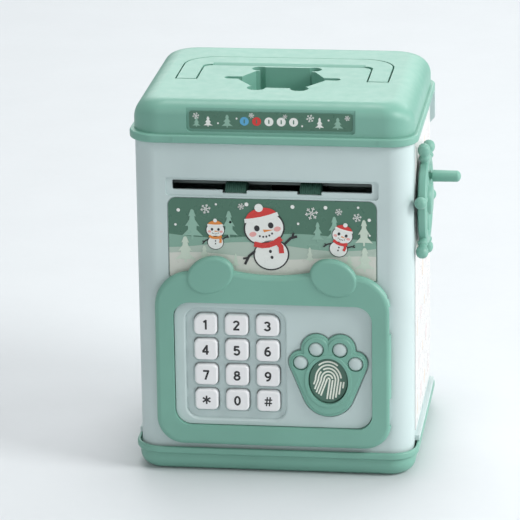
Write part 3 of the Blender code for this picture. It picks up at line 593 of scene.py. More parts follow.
def shell_plan(front):
    side = -1 if front else 1
    seam = SEAM_Y - 0.15 if front else SEAM_Y + 0.15
    hub_x = BODY_X - BODY_CORNER
    hub_y = side * (BODY_Y - BODY_CORNER)
    swing = 90 * side
    inner = BODY_CORNER - WALL
    ring = [(BODY_X, seam)]
    ring += arc((hub_x, hub_y), BODY_CORNER, 0, swing, 14)
    ring += arc((-hub_x, hub_y), BODY_CORNER, swing, 2 * swing, 14)
    ring += [(-BODY_X, seam), (-BODY_X + WALL, seam)]
    ring += arc((-hub_x, hub_y), inner, 2 * swing, swing, 10)
    ring += arc((hub_x, hub_y), inner, swing, 0, 10)
    return ring + [(BODY_X - WALL, seam)]


print("shell plan has", len(shell_plan(True)), "points")

# %% [markdown]
# ## The front shell
# Around the note slot the wall steps in and its edge is chamfered, which catches a thin line
# of light. Two small notches in the lower lip give the feed rollers room.

# %% The front shell
HINGE = (54.1, -59.65)
LUG_Z = ((73.8, 86.7), (27.8, 40.7))
front_shell = plate(shell_plan(True), BODY_Z, "XY")
through = (-58.5, -53.0)
cut(front_shell,
    plate(rounded((-52.3, 52.0), (18.5, 96.8), 9.0), through, "XZ"),
    plate(rounded((-47.3, 47.3), (141.2, 146.0), 0.8, 4), through, "XZ"),
    plate(rounded((-50.4, 50.4), (138.2, 147.3), 1.5, 6), (-58.5, -56.1), "XZ"),
    plate(rounded((-49.8, 49.8), (97.9, 137.8), (0.8, 0.8, 4.2, 4.2)), (-58.5, -56.4), "XZ"))
for middle in (-17.7, 17.7):
    cut(front_shell, block((middle - 5.8, middle + 5.8), through, (139.7, 142.0)))
for low, high in LUG_Z:
    join(front_shell,
         block((HINGE[0] - 0.8, HINGE[0] + 0.8), (HINGE[1] + 1.1, -55.8), (low, high)),
         rod("Z", HINGE, 1.35, (low, high), 24))
    cut(front_shell, rod("Z", HINGE, 0.95, (low - 2, high + 2), 24))
keep(front_shell, "front_body_shell", "casing", pale, ["front_shell"], edge=0.25)
print("front shell kept")

# %% [markdown]
# ## The rear shell
# The rear shell has the battery hole, the speaker slots, the switch slot, the bearing for the
# wheel's shaft, the guides for the latch bar and two small lugs under the lid's rim.

# %% The rear shell
rear_shell = plate(shell_plan(False), BODY_Z, "XY")
back = (53.0, 58.5)
join(rear_shell, rod("X", WHEEL, 5.0, (-64.2, -60.9), 32))
for low, high in ((60.0, 66.0), (102.0, 108.0)):
    join(rear_shell, block((-64.1, -55.2), (-40.4, -30.6), (low, high)))
    cut(rear_shell, block((-60.65, -56.95), (-38.35, -32.65), (low - 1, high + 1)))
for side in (-1, 1):
    lug = [(side * 65.4, 147.5), (side * 68.4, 151.0), (side * 68.4, 164.2), (side * 65.4, 164.2)]
    foot = sorted((side * 65.4, side * 68.2))
    join(rear_shell, plate(lug, (46.5, 50.5), "XZ"), block(foot, (-40.5, 44.5), (13.0, 15.6)))
cut(rear_shell, plate(rounded((-29, 29), (24.0, 82.0), 3.0), back, "XZ"),
    rod("X", WHEEL, 4.3, (62.0, 67.0), 32), rod("X", WHEEL, 2.25, (-65.0, -58.0), 24),
    block((39.0, 47.0), back, (77.5, 81.5)))
for i in range(5):
    x = -10 + 5 * i
    cut(rear_shell, plate(rounded((x - 1, x + 1), (102, 122), 0.95, 6), back, "XZ"))
keep(rear_shell, "rear_body_shell", "casing", pale, ["rear_shell"], edge=0.25)
print("rear shell kept")

# %% [markdown]
# ## The carry handle
# The handle is a flat U with softly rounded edges, so it is comfortable to lift. Its legs end
# in the round pivots.

# %% The carry handle
handle = plate(handle_outline(-0.15), (180.2, 184.6), "XY")
front = HANDLE_BACK - HANDLE_BAR
slope = [(front - 0.5, 185.0), (front - 0.5, 181.7)]
slope += [(front + 3.9 - 3.4 * math.cos(math.radians(a)), 181.2 + 3.4 * math.sin(math.radians(a)))
          for a in range(0, 91, 15)]
slope += [(front + 3.9, 185.0)]
cut(handle, plate(slope, (-37.2, 37.2), "YZ"))
for side in (-1, 1):
    middle = side * (HANDLE_LEG[0] + HANDLE_LEG[1]) / 2
    cut(handle, rod("X", PIVOT, 1.45, (middle - 7, middle + 7), 24))
keep(handle, "folding_handle", "handle", green, ["carry_handle"], edge=0.5)
print("handle kept")

# %% [markdown]
# # The door
# ## The ear-topped frame
# The frame is a fat, pillowy band: its outer and inner edges roll over with a big radius. Two
# oval ears overlap the top of the band as raised pads, tilted outwards, and the brow between
# them dips a little. Rounding the frame and the ears before joining them keeps the crisp line
# where they meet. At the back the outline steps in, so a dark shadow line runs all round the
# closed door, and pockets there hide the hinge knuckles.

# %% The door frame


def frame_outline(steps=14):
    ring = arc((-43.4, 28.2), 13.0, 180, 270, steps)
    ring += arc((43.4, 28.2), 13.0, 270, 360, steps)
    ring += arc((38.4, 84.2), 18.0, 0, 90, steps)
    for i in range(13):
        x = 18.3 - 3.05 * i
        ring.append((x, 101.0 + 1.8 * (x / 18.3) ** 2))
    return ring + arc((-38.4, 84.2), 18.0, 90, 180, steps)


def inset(ring, depth):
    """The outline moved inwards by a small depth. It must run anticlockwise."""
    moved = []
    for i, (u, v) in enumerate(ring):
        before = ring[i - 1]
        after = ring[(i + 1) % len(ring)]
        along_u = after[0] - before[0]
        along_v = after[1] - before[1]
        size = math.hypot(along_u, along_v)
        moved.append((u - along_v / size * depth, v + along_u / size * depth))
    return moved


STEP_Y = DOOR_Y[1] - 1.9
door_frame = plate(frame_outline(), (DOOR_Y[0], STEP_Y), "XZ")
round_front(door_frame, DOOR_Y[0], 2.6, 8)
join(door_frame, plate(inset(frame_outline(), 1.15), (STEP_Y - 1.0, DOOR_Y[1]), "XZ"))
for side in (-1, 1):
    middle = (side * 29.3, 100.6)
    ear = plate(ellipse(middle, 11.6, 8.9, -22 * side, 72), (-62.7, STEP_Y - 0.05), "XZ")
    round_front(ear, -62.7, 1.6, 6)
    root = ellipse(middle, 10.45, 7.75, -22 * side, 64)
    join(door_frame, ear, plate(root, (STEP_Y - 1.0, DOOR_Y[1]), "XZ"))
window = plate(rounded((-PANEL_X, PANEL_X), PANEL_Z, 8.0, 12), (-64, -56), "XZ")
cut(door_frame, window)
for low, high in LUG_Z:
    room = (low - 0.4, high + 0.4)
    cut(door_frame, rod("Z", HINGE, 1.75, room, 24),
        block((HINGE[0] - 1.2, 57.4), (HINGE[1], -56.3), room),
        block((HINGE[0], 57.4), (HINGE[1] - 1.45, -55.8), (room[0] - 0.01, room[1] + 0.01)),
        rod("Z", HINGE, 0.95, (low - 5, high + 5), 24))
keep(door_frame, "ear_top_frame", "door", green, ["door_frame"], edge=0.5,
     angle=50)
print("door frame kept")

# %% [markdown]
# ## The panel
# The pale panel fills the frame. It has a sunken tray for the keys, and each key drops into a
# shallow pocket of its own, so low ribs are left standing between them.

# %% Key places
KEY_FRONT = -60.1
KEY_NAMES = ("1", "2", "3", "4", "5", "6", "7", "8", "9", "star", "0", "hash")
KEY_X = (-32.3, -17.4, -2.5)
KEY_Z = (75.6, 62.95, 50.3, 37.65)


def key_places():
    places = []
    for i, name in enumerate(KEY_NAMES):
        row, column = divmod(i, 3)
        radii = [2.4, 2.4, 2.4, 2.4]
        if row == 0 and column == 0:
            radii[3] = 4.2
        if row == 0 and column == 2:
            radii[2] = 4.2
        places.append((name, KEY_X[column], KEY_Z[row], tuple(radii)))
    return places


def key_outline(x, z, radii, grow):
    return rounded((x - 5.55 - grow, x + 5.55 + grow), (z - 5.15 - grow, z + 5.15 + grow),
                   radii, 8)


print(len(key_places()), "keys")

# %% [markdown]
# ## The outline of the paw
# The reader's bezel is a paw print: a rubber band round the outer toes and the pad, with the
# two middle toes joined on top. The panel needs the same outline for the groove the bezel
# sits in, so it comes first. A negative shrink makes it larger.

# %% The outline of the paw
TOES = ((-13.1, 8.9), (-5.7, 15.7), (5.7, 15.7), (13.1, 8.9))


def paw_outline(shrink=0.0, count=240):
    """How far the paw reaches from the pad's centre in every direction, as (x, z) points."""
    pad = ellipse((PAW[0], 43.8), 12.5 - shrink, 12.5 - shrink, 0, 80)
    for dx, dz in (TOES[0], TOES[3]):
        pad += ellipse((PAW[0] + dx, PAW[1] + dz), 5.8 - shrink, 5.8 - shrink, 0, 64)
    band = [(u - PAW[0], v - PAW[1]) for u, v in hull(pad)]
    middle_toe = 7.3 - shrink
    outline = []
    for k in range(count):
        a = math.radians(360 * k / count)
        way = (math.cos(a), math.sin(a))
        reach = 100.0
        for i, (u, v) in enumerate(band):
            out = (v - band[i - 1][1], band[i - 1][0] - u)
            depth = out[0] * u + out[1] * v
            facing = (out[0] * way[0] + out[1] * way[1]) * (1 if depth > 0 else -1)
            if facing > 1e-9:
                reach = min(reach, abs(depth) / facing)
        for dx, dz in TOES[1:3]:
            along = dx * way[0] + dz * way[1]
            aside = dx * dx + dz * dz - along * along
            if along > 0 and aside < middle_toe ** 2:
                reach = max(reach, along + math.sqrt(middle_toe ** 2 - aside))
        outline.append((PAW[0] + reach * way[0], PAW[1] + reach * way[1]))
    return outline


def paw_layer(shrink, span):
    return plate(paw_outline(shrink), span, "XZ")


print("paw outline ready")

# %% The panel
panel = plate(rounded((-51.5, 51.0), (19.4, 96.0), 8.0), (-57.0, -55.0), "XZ")
face = plate(rounded((-47.15, 47.15), (25.25, 86.75), 7.6, 12), (PANEL_Y, -56.5), "XZ")
join(panel, face)
rings = []
for i in range(9):
    a = math.radians(11.25 * i)
    grow = 1.2 * (1 - math.sin(a))
    y = PANEL_Y + 1.8 * (1 - math.cos(a)) if i else -60.5
    edge = rounded((-41.8 - grow, 5.8 + grow), (28.2 - grow, 83.3 + grow), 6.0 + grow, 12)
    rings.append([(u, y, v) for u, v in edge])
cut(panel, loft(rings))
for name, x, z, radii in key_places():
    cut(panel, plate(key_outline(x, z, radii, 0.9), (-59.5, -57.3), "XZ"),
        plate(key_outline(x, z, radii, 0.35), (-60.5, -54.0), "XZ"))
cut(panel, plate(ellipse(PAW, 9.55, 11.55), (-60.5, -54.0), "XZ"),
    paw_layer(-0.6, (-60.5, -58.6)))
join(panel, paw_layer(0.9, (-59.5, -58.0)))
cut(panel, plate(ellipse(PAW, 9.55, 11.55), (-60.5, -54.0), "XZ"))
keep(panel, "keypad_panel", "door", pale, ["door_panel"], edge=0.3)
print("panel kept")

# %% [markdown]
# ## The keys
# Each key is a white cap with a soft rounded top and a figure printed on it. The cap is rounded
# first, then a wider flange is joined behind it, which is what stops a real key falling out.
# The figures are drawn with a broad pen: straight strokes and arcs of one width, like the
# bold lettering on a telephone. Each stroke is a thin solid, and they are joined into one.

# %% Pen strokes


def ribbon(points, width, y, height=0.18):
    """A raised line with square ends along (x, z) points, standing off the face at y."""
    left = []
    right = []
    for i, (u, v) in enumerate(points):
        before = points[max(i - 1, 0)]
        after = points[min(i + 1, len(points) - 1)]
        du = after[0] - before[0]
        dv = after[1] - before[1]
        size = math.hypot(du, dv) or 1.0
        side_u = -dv / size * width / 2
        side_v = du / size * width / 2
        left.append((u + side_u, v + side_v))
        right.append((u - side_u, v - side_v))
    return plate(left + right[::-1], (y - height, y + 0.06), "XZ")


def bow(centre, across, up, start, end, steps=20):
    """Points along part of an ellipse."""
    angles = [math.radians(start + (end - start) * i / steps) for i in range(steps + 1)]
    return [(centre[0] + across * math.cos(a), centre[1] + up * math.sin(a)) for a in angles]


SIX = (bow((0, -0.85), 1.15, 1.15, 0, 360, 36), bow((0.35, -0.6), 1.5, 2.55, 178, 72))
FIGURES = {
    "1": (((0.3, -2.4), (0.3, 2.4)), ((0.45, 2.1), (-0.85, 1.2))),
    "2": (bow((0, 1.05), 1.15, 1.0, 170, -38), ((0.95, 0.55), (-1.1, -2.0)),
          ((-1.45, -2.0), (1.5, -2.0))),
    "3": (bow((-0.1, 1.05), 1.1, 0.95, 160, -90), bow((-0.05, -0.95), 1.25, 1.05, 90, -165)),
    "4": (((0.6, -2.4), (0.6, 2.4)), ((0.75, 2.2), (-1.4, -0.9)), ((-1.6, -0.95), (1.5, -0.95))),
    "5": (((1.25, 1.98), (-0.95, 1.98)), ((-0.75, 2.3), (-1.0, -0.1)),
          bow((0, -0.75), 1.25, 1.25, 148, -155)),
    "6": SIX,
    "7": (((-1.45, 1.98), (1.4, 1.98)), ((1.2, 2.2), (-0.4, -2.4))),
    "8": (bow((0, 1.1), 1.0, 0.9, 0, 360, 30), bow((0, -0.95), 1.2, 1.05, 0, 360, 36)),
    "9": [[(-u, -v) for u, v in stroke] for stroke in SIX],
    "star": [((-2.1 * math.cos(math.radians(a)), -2.1 * math.sin(math.radians(a))),
              (2.1 * math.cos(math.radians(a)), 2.1 * math.sin(math.radians(a))))
             for a in (90, 30, 150)],
    "0": (bow((0, 0), 1.15, 1.98, 0, 360, 40),),
    "hash": (((-0.95, -2.3), (-0.45, 2.3)), ((0.45, -2.3), (0.95, 2.3)),
             ((-1.75, 0.85), (1.85, 0.85)), ((-1.85, -0.85), (1.75, -0.85))),
}


def figure(name, x, z):
    width = {"hash": 0.66, "star": 0.8}.get(name, 0.94)
    solid = None
    for n, stroke in enumerate(FIGURES[name]):
        line = ribbon([(x + u, z + v) for u, v in stroke], width, KEY_FRONT, 0.05 + 0.002 * n)
        solid = join(solid, line) if solid else line
    return solid


print("figures drawn for", ", ".join(FIGURES))

# %% The keys
for name, x, z, radii in key_places():
    cap = plate(key_outline(x, z, radii, 0.0), (KEY_FRONT, -54.3), "XZ")
    round_front(cap, KEY_FRONT, 1.0, 5)
    join(cap, plate(key_outline(x, z, radii, 0.8), (-54.7, -53.9), "XZ"))
    keep(cap, "key_cap_" + name, "key_body_" + name, key_white, ["key_" + name])
    keep(figure(name, x, z), "key_figure_" + name, "key_body_" + name, black_ink)
print("keys kept:", len(KEY_NAMES))

# %% [markdown]
# ## The paw-shaped reader
# The bezel is a loft through paw outlines that shrink towards the front in two rounded steps,
# which gives the double edge of the real moulding. A raised lip runs round the oval hole for
# the print pad. The four toes are little domes, like lamps, each in a round pocket.

# %% The paw bezel
steps = [(0.0, -59.3), (0.0, -60.4), (0.18, -60.8), (0.6, -61.0), (1.15, -61.02), (1.2, -61.2),
         (1.38, -61.52), (1.8, -61.7)]
bezel = loft([[(u, y, v) for u, v in paw_outline(shrink)] for shrink, y in steps])
lip = plate(ellipse(PAW, 11.3, 13.3, 0, 72), (-62.1, -60.73), "XZ")
join(bezel, round_front(lip, -62.1, 0.35, 3))
cut(bezel, plate(ellipse(PAW, 9.55, 11.55, 0, 80), (-63, -58), "XZ"))
for dx, dz in TOES:
    cut(bezel, rod("Y", (PAW[0] + dx, PAW[1] + dz), 3.8, (-63, -60.0), 40))
keep(bezel, "paw_reader_bezel", "door", green, ["paw_bezel"], edge=0.15, angle=40)
for i, (dx, dz) in enumerate(TOES):
    profile = [(3.4, -0.2), (3.4, 0.25)]
    for k in range(1, 8):
        a = math.radians(90 * k / 7.6)
        profile.append((3.4 * math.cos(a), 0.25 + 1.25 * math.sin(a)))
    place = Matrix.Translation((PAW[0] + dx, -60.4, PAW[1] + dz))
    dome = turned(profile, place @ Matrix.Rotation(math.pi / 2, 4, "X"), 40)
    keep(dome, "toe_dome_" + str(i + 1), "door", toe_clear,
         ["toe_lens_" + str(i + 1)])
print("bezel and toes kept")

# %% [markdown]
# ## The print pad
# The pad is a sunken oval button with a raised ridge pattern. The pattern is nothing but nested
# arches over one centre, each broken by a small gap. A ridge that reaches the edge of the oval
# simply ends there.

# %% The print pad


def join_meshes(objects):
    """Gathers separate little solids into one object without merging them."""
    bm = bmesh.new()
    for obj in objects:
        bm.from_mesh(obj.data)
        bpy.data.objects.remove(obj, do_unlink=True)
    mesh = bpy.data.meshes.new("gathered")
    bm.to_mesh(mesh)
    bm.free()
    gathered = bpy.data.objects.new("gathered", mesh)
    workbench.objects.link(gathered)
    return gathered


def inside_pad(u, v):
    return (u / 7.5) ** 2 + (v / 9.7) ** 2 < 1


def arch_points(size):
    """One ridge as (u, v) points: up the left leg, over the bow, down the right leg."""
    left = [(-size - 0.3 * t, 0.4 - 0.8 * t) for t in range(14, 0, -1)]
    over = bow((0, 0.4), size, 1.22 * size, 180, 0, 24)
    right = [(size - 0.12 * t, 0.4 - 0.8 * t) for t in range(1, 15)]
    return left + over + right


PAD_FRONT = -60.5
pad = plate(ellipse(PAW, 9.2, 11.2, 0, 80), (PAD_FRONT, -54.3), "XZ")
round_front(pad, PAD_FRONT, 0.4, 3)
join(pad, plate(ellipse(PAW, 10.3, 12.3, 0, 64), (-54.7, -53.9), "XZ"))
keep(pad, "print_pad", "reader", pad_green, ["print_button"])
ridges = []
for n in range(6):
    run = []
    gap = (20 + 17 * n) % 50
    for k, (u, v) in enumerate(arch_points(0.7 + 1.36 * n)):
        if inside_pad(u, v) and k != gap:
            run.append((PAW[0] + u, PAW[1] + v))
            continue
        if len(run) > 2:
            ridges.append(ribbon(run, 0.78, PAD_FRONT))
        run = []
    if len(run) > 2:
        ridges.append(ribbon(run, 0.82, -60.5))
ridge_print = join_meshes(ridges)
keep(ridge_print, "print_pad_ridges", "reader", cream_ink)
print("pad kept")

# %% [markdown]
# # The note feed
# ## Rollers
# Two pairs of rubber rollers pull a note through the slot. Fine grooves round the rubber help
# it grip, so each roller is turned on the lathe with a ribbed profile.

# %% The rollers
ROLLERS = (("feed", (-48.0, 137.4), 6.0, 2.2), ("pinch", (-48.0, 148.8), 5.0, 1.7))
for kind, (y, z), radius, bore in ROLLERS:
    for side, hand in ((-1, "left"), (1, "right")):
        profile = [(radius - 0.5, -5.1), (radius, -4.7)]
        for k in range(9):
            at = -4.1 + 8.2 * k / 8
            profile += [(radius, at - 0.25), (radius - 0.22, at - 0.1),
                        (radius - 0.22, at + 0.1), (radius, at + 0.25)]
        profile += [(radius, 4.7), (radius - 0.5, 5.1)]
        place = Matrix.Translation((side * 17.7, y, z)) @ Matrix.Rotation(math.pi / 2, 4, "Y")
        tyre = turned(profile, place, 48)
        cut(tyre, rod("X", (y, z), bore, (side * 17.7 - 8, side * 17.7 + 8), 24))
        keep(tyre, kind + "_tyre_" + hand, kind, roller_rubber,
             [kind + "_roller_" + hand], angle=50)
print("rollers kept")

# %% [markdown]
# # The side wheel
# ## Wheel and crank peg
# The wheel is a ship's helm seen as a toy: a dished disc, six turned grips, and a crank peg to
# wind it with. The disc is turned in one go, then the grips are turned along their own spokes
# and joined on.

# %% The side wheel
y, z = WHEEL
face_out = Matrix.Translation((0, y, z)) @ Matrix.Rotation(math.pi / 2, 4, "Y")
disc = turned([(20.6, 67.6), (21.5, 68.3), (21.7, 69.7), (21.5, 71.1), (20.6, 71.8), (18.4, 71.8),
               (17.4, 71.0), (16.6, 70.2), (9.0, 70.4), (7.6, 71.2), (7.2, 72.6), (6.4, 73.2),
               (3.0, 73.4), (1.0, 73.4)], face_out, 72)
cut(disc, turned([(18.2, 66.0), (17.2, 68.6)], face_out, 64))
join(disc, rod("X", WHEEL, 8.6, (67.6, 69.5), 48))
SPOKE = [(1.9, 6.0), (1.8, 14.0), (1.8, 21.0), (2.1, 22.4), (2.5, 23.0), (2.5, 23.8), (2.1, 24.4),
         (1.9, 24.9), (2.2, 25.5), (2.75, 26.4), (3.0, 27.6), (2.9, 28.8), (2.5, 29.9),
         (1.8, 30.6), (0.8, 30.9)]
for i in range(6):
    a = math.radians(12 + 60 * i)
    way = Vector((0, -math.cos(a), math.sin(a)))
    turn = Vector((0, 0, 1)).rotation_difference(way).to_matrix().to_4x4()
    join(disc, turned(SPOKE, Matrix.Translation((69.7, y, z)) @ turn, 28))
join(disc, rod("X", WHEEL, 4.0, (62.8, 68.0), 32))
a = math.radians(132)
peg_at = (y - 12.3 * math.cos(a), z + 12.3 * math.sin(a))
cut(disc, rod("X", WHEEL, 2.2, (60.0, 71.2), 32), rod("X", peg_at, 1.9, (68, 74), 24))
keep(disc, "helm_wheel", "wheel", green, ["hand_wheel"], edge=0.3, angle=40)
place = Matrix.Translation((0, *peg_at)) @ Matrix.Rotation(math.pi / 2, 4, "Y")
peg_profile = [(1.6, 69.4), (1.6, 72.3), (2.9, 72.5), (2.85, 74.0), (2.75, 84.0)]
for k in range(1, 8):
    b = math.radians(90 * k / 7.8)
    peg_profile.append((2.75 * math.cos(b), 84.0 + 2.0 * math.sin(b)))
peg = turned(peg_profile, place, 40)
keep(peg, "crank_grip", "wheel", green, ["crank_peg"], angle=45)
print("wheel and peg kept")

# %% [markdown]
# # Printed film
# ## The winter picture
# The film above the door shows a snowy hill at night. It is built like a paper collage: the
# sky, then two rows of hills, then the snow in front, then trees, flakes and a snowman, each
# a whisker above the last. Every layer is cut from a simple outline.

# %% Collage helpers
LAYER = 0.045
PICTURE_Y = -56.9
HILL_X = 49.2
HILL_FOOT = 98.6


def layer_plate(outline, level):
    front = PICTURE_Y - LAYER * level
    return plate(outline, (front - LAYER * 0.9, front), "XZ")


def picture_piece(obj, name, finish):
    return keep(obj, name, "casing", finish)


def hill(height, swell, phase):
    """A hill's outline across the film: a soft wave above a straight bottom."""
    ring = [(-HILL_X, HILL_FOOT), (HILL_X, HILL_FOOT)]
    for i in range(41):
        x = HILL_X - 2 * HILL_X * i / 40
        ring.append((x, height + swell * math.sin(x / 13.0 + phase)))
    return ring


def pine(x, z, height, width, tiers=3):
    """A fir tree: stacked skirts that grow towards the ground, and a short trunk."""
    right = []
    for i in range(tiers):
        top = z + height * (1 - i / tiers)
        low = z + height * (1 - (i + 1.18) / tiers) + height * 0.14
        half = width * 0.6 * (i + 1.1) / (tiers + 0.1)
        right += [(x + half * 0.4, top - height * 0.03), (x + half, low)]
        right.append((x + half * 0.6, low + height * 0.02))
    right += [(x + width * 0.06, right[-1][1]), (x + width * 0.06, z - height * 0.03)]
    left = [(2 * x - u, v) for u, v in reversed(right)]
    return [(x, z + height)] + right + left


def flake(x, z, size, width, level):
    """A six-armed snow crystal made of thin bars, a pair of barbs on each arm."""
    front = PICTURE_Y - LAYER * level
    bars = []
    for k in range(6):
        a = math.radians(60 * k + 12)
        tip = (x + size * math.cos(a), z + size * math.sin(a))
        bars.append(ribbon([(x, z), tip], width, front, LAYER * 0.9))
        knee = (x + size * 0.58 * math.cos(a), z + size * 0.58 * math.sin(a))
        for lean in (-45, 45):
            b = a + math.radians(lean)
            barb = (knee[0] + size * 0.34 * math.cos(b), knee[1] + size * 0.34 * math.sin(b))
            bars.append(ribbon([knee, barb], width * 0.85, front, LAYER * 0.9))
    return bars


print("collage layer", LAYER, "mm")

# %% The sky and hills
film = plate(rounded((-49.4, 49.4), (98.3, 137.4), (0.6, 0.6, 3.8, 3.8)),
             (PICTURE_Y, -56.6), "XZ")
keep(film, "picture_film", "casing", sky_ink, ["picture_sticker"])
far = layer_plate(hill(119.5, 1.4, 0.6), 0)
near = layer_plate(hill(114.6, 1.7, 2.4), 1)
snow = layer_plate(hill(109.4, 1.3, 4.4), 2)
picture_piece(far, "far_hills", hill_ink)
picture_piece(near, "near_hills", near_ink)
picture_piece(snow, "front_snow", snow_ink)
print("hills laid")

# %% [markdown]
# ## Trees and snow
# Firs stand in two tones, dark ones on the far hill and pale, frosted ones in front. Snow
# crystals and round dots fill the sky. Their places are listed one by one, because a picture
# looks better composed than scattered.

# %% Trees and snow
dark_firs = ((-38.0, 117.5, 14.5, 8.5), (-20.5, 118.5, 13.0, 7.0), (21.6, 117.5, 9.5, 5.2),
             (29.5, 118.0, 12.0, 6.6))
pale_firs = ((-41.5, 106.0, 12.5, 8.6), (-32.4, 106.0, 8.0, 5.4), (43.5, 116.2, 12.5, 7.0),
             (43.8, 103.5, 11.5, 8.0), (17.8, 107.5, 7.0, 3.8), (-17.5, 104.0, 6.5, 3.2),
             (36.5, 104.5, 6.5, 4.4))
trees = join_meshes([layer_plate(pine(*fir), 3) for fir in dark_firs])
picture_piece(trees, "dark_firs", pine_ink)
trees = join_meshes([layer_plate(pine(*fir), 4) for fir in pale_firs])
picture_piece(trees, "pale_firs", pale_pine_ink)
crystals = []
for x, z, size in ((-31.5, 132.2, 2.4), (18.8, 131.2, 3.1), (31.6, 132.2, 1.7),
                   (40.3, 129.6, 2.1), (-14.6, 133.8, 1.6)):
    crystals += flake(x, z, size, 0.42, 3)
picture_piece(join_meshes(crystals), "snow_crystals", white_ink)
dots = []
for x, z, size in ((-44.5, 131.4, 0.85), (-26.5, 134.6, 0.55), (-12.0, 134.9, 0.95),
                   (9.8, 134.2, 0.95), (25.4, 134.2, 0.9), (40.8, 134.6, 0.6), (46.0, 128.6, 0.8),
                   (-19.8, 126.0, 0.6), (34.8, 125.8, 0.6), (-46.0, 124.2, 0.6),
                   (12.4, 126.0, 0.6), (46.2, 121.0, 0.5)):
    dots.append(layer_plate(ellipse((x, z), size, size, 0, 24), 3))
picture_piece(join_meshes(dots), "snow_dots", white_ink)
print("trees and snow laid")

# %% [markdown]
# ## Snowmen
# A large plain snowman leans into the middle of the picture, with a red scarf and cap, coal
# eyes and a carrot nose, and two little ones stand on either side. One function makes all
# three; only place, size and lean change.

# %% Snowmen


def snowman(name, x, z, size, lean, scarf, level):
    """A snowman with its base at (x, z). The lean, in degrees, tilts it about its base."""
    c = math.cos(math.radians(lean))
    s = math.sin(math.radians(lean))

    def spot(u, v):
        return (x + size * (u * c + v * s), z + size * (-u * s + v * c))

    def disc_at(u, v, across, up, lift):
        return layer_plate(ellipse(spot(u, v), size * across, size * up, -lean, 48), level + lift)

    def bent(points, width, lift):
        front = PICTURE_Y - LAYER * (level + lift)
        return ribbon([spot(u, v) for u, v in points], size * width, front, LAYER * 0.9)

    outline = join_meshes([disc_at(0, 0.62, 0.86, 0.78, 0), disc_at(0, 1.95, 0.98, 0.86, 0)])
    picture_piece(outline, name + "_outline", black_ink)
    snow_ball = join_meshes([disc_at(0, 0.62, 0.79, 0.71, 1), disc_at(0, 1.95, 0.91, 0.79, 1)])
    picture_piece(snow_ball, name + "_body", white_ink)
    arms = join_meshes([bent([(0.7, 0.95), (1.1, 1.2), (1.42, 1.22)], 0.12, 1),
                        bent([(1.18, 1.2), (1.3, 1.42)], 0.1, 2),
                        bent([(-0.7, 0.95), (-1.05, 0.78), (-1.35, 0.42)], 0.12, 1),
                        bent([(-1.12, 0.7), (-1.36, 0.72)], 0.1, 2)])
    picture_piece(arms, name + "_arms", black_ink)
    coal = [disc_at(u, v, r, r * 1.15, 2) for u, v, r in
            ((-0.34, 2.02, 0.13), (0.34, 2.02, 0.13), (0, 0.78, 0.07), (0, 0.48, 0.07),
             (-0.3, 1.62, 0.045), (-0.15, 1.55, 0.045), (0.0, 1.53, 0.045),
             (0.15, 1.55, 0.045), (0.3, 1.62, 0.045))]
    picture_piece(join_meshes(coal), name + "_coal", black_ink)
    carrot = layer_plate([spot(-0.08, 1.9), spot(-0.05, 1.76), spot(0.42, 1.78)], level + 2)
    picture_piece(carrot, name + "_nose", orange_ink)
    cheeks = join_meshes([disc_at(u, 1.78, 0.17, 0.12, 2) for u in (-0.6, 0.6)])
    picture_piece(cheeks, name + "_cheeks", cheek_ink)
    cap = layer_plate([spot(u, v) for u, v in bow((0, 2.44), 0.78, 0.52, 0, 180)], level + 3)
    picture_piece(cap, name + "_cap", scarf)
    brim = join_meshes([bent([(-0.82, 2.5), (-0.45, 2.45), (0, 2.43), (0.45, 2.45), (0.82, 2.5)],
                             0.2, 4),
                        disc_at(0, 2.98, 0.2, 0.2, 4)])
    picture_piece(brim, name + "_brim", white_ink)
    wrap = join_meshes([bent([(-0.66, 1.3), (-0.3, 1.14), (0.0, 1.1), (0.3, 1.14), (0.66, 1.3)],
                             0.26, 3),
                        bent([(0.42, 1.2), (0.55, 0.9), (0.5, 0.58)], 0.24, 4)])
    picture_piece(wrap, name + "_scarf", scarf)


snowman("big_snowman", 1.0, 104.5, 10.0, -14, red_ink, 5)
snowman("left_snowman", -27.0, 113.0, 4.6, 0, orange_ink, 5)
snowman("right_snowman", 30.5, 111.0, 5.2, 16, red_ink, 5)
print("snowmen laid")

# %% [markdown]
# ## The lid's printed strip
# The strip in the lid is dark green with small firs, crystals and coins. Coins suit a bank, and
# the shapes say what it is for without any lettering.

# %% The lid strip
STRIP_Y = -57.0
strip = plate(rounded((-38.4, 38.4), (171.4, 179.8), 1.0), (STRIP_Y, -56.6), "XZ")
keep(strip, "lid_strip_film", "casing", sky_ink, ["lid_sticker"])


def strip_plate(outline, level=0):
    front = STRIP_Y - 0.04 * level
    return plate(outline, (front - 0.04, front), "XZ")


firs = [strip_plate(pine(x, 172.4, h, w)) for x, h, w in
        ((-20.5, 6.0, 4.4), (31.5, 5.6, 4.4), (-35.0, 4.6, 3.2))]
keep(join_meshes(firs), "strip_dark_firs", "casing", pine_ink)
firs = [strip_plate(pine(x, 172.6, h, w)) for x, h, w in ((23.0, 5.2, 3.4), (-29.5, 4.8, 3.6))]
keep(join_meshes(firs), "strip_pale_firs", "casing", white_ink)
bars = []
for x, z, size in ((-35.2, 177.6, 1.6), (-9.0, 178.2, 1.3), (18.6, 177.4, 1.9), (36.0, 177.8, 1.3),
                   (6.8, 178.0, 1.1)):
    for bar in flake(x, z, size, 0.34, 0):
        bar.data.transform(Matrix.Translation((0, (STRIP_Y - PICTURE_Y) * MM, 0)))
        bars.append(bar)
for x, z in ((-24.8, 174.2), (27.2, 176.6), (-16.0, 176.6), (14.8, 173.6)):
    bars.append(strip_plate(ellipse((x, z), 0.45, 0.45, 0, 20)))
keep(join_meshes(bars), "strip_crystals", "casing", white_ink)
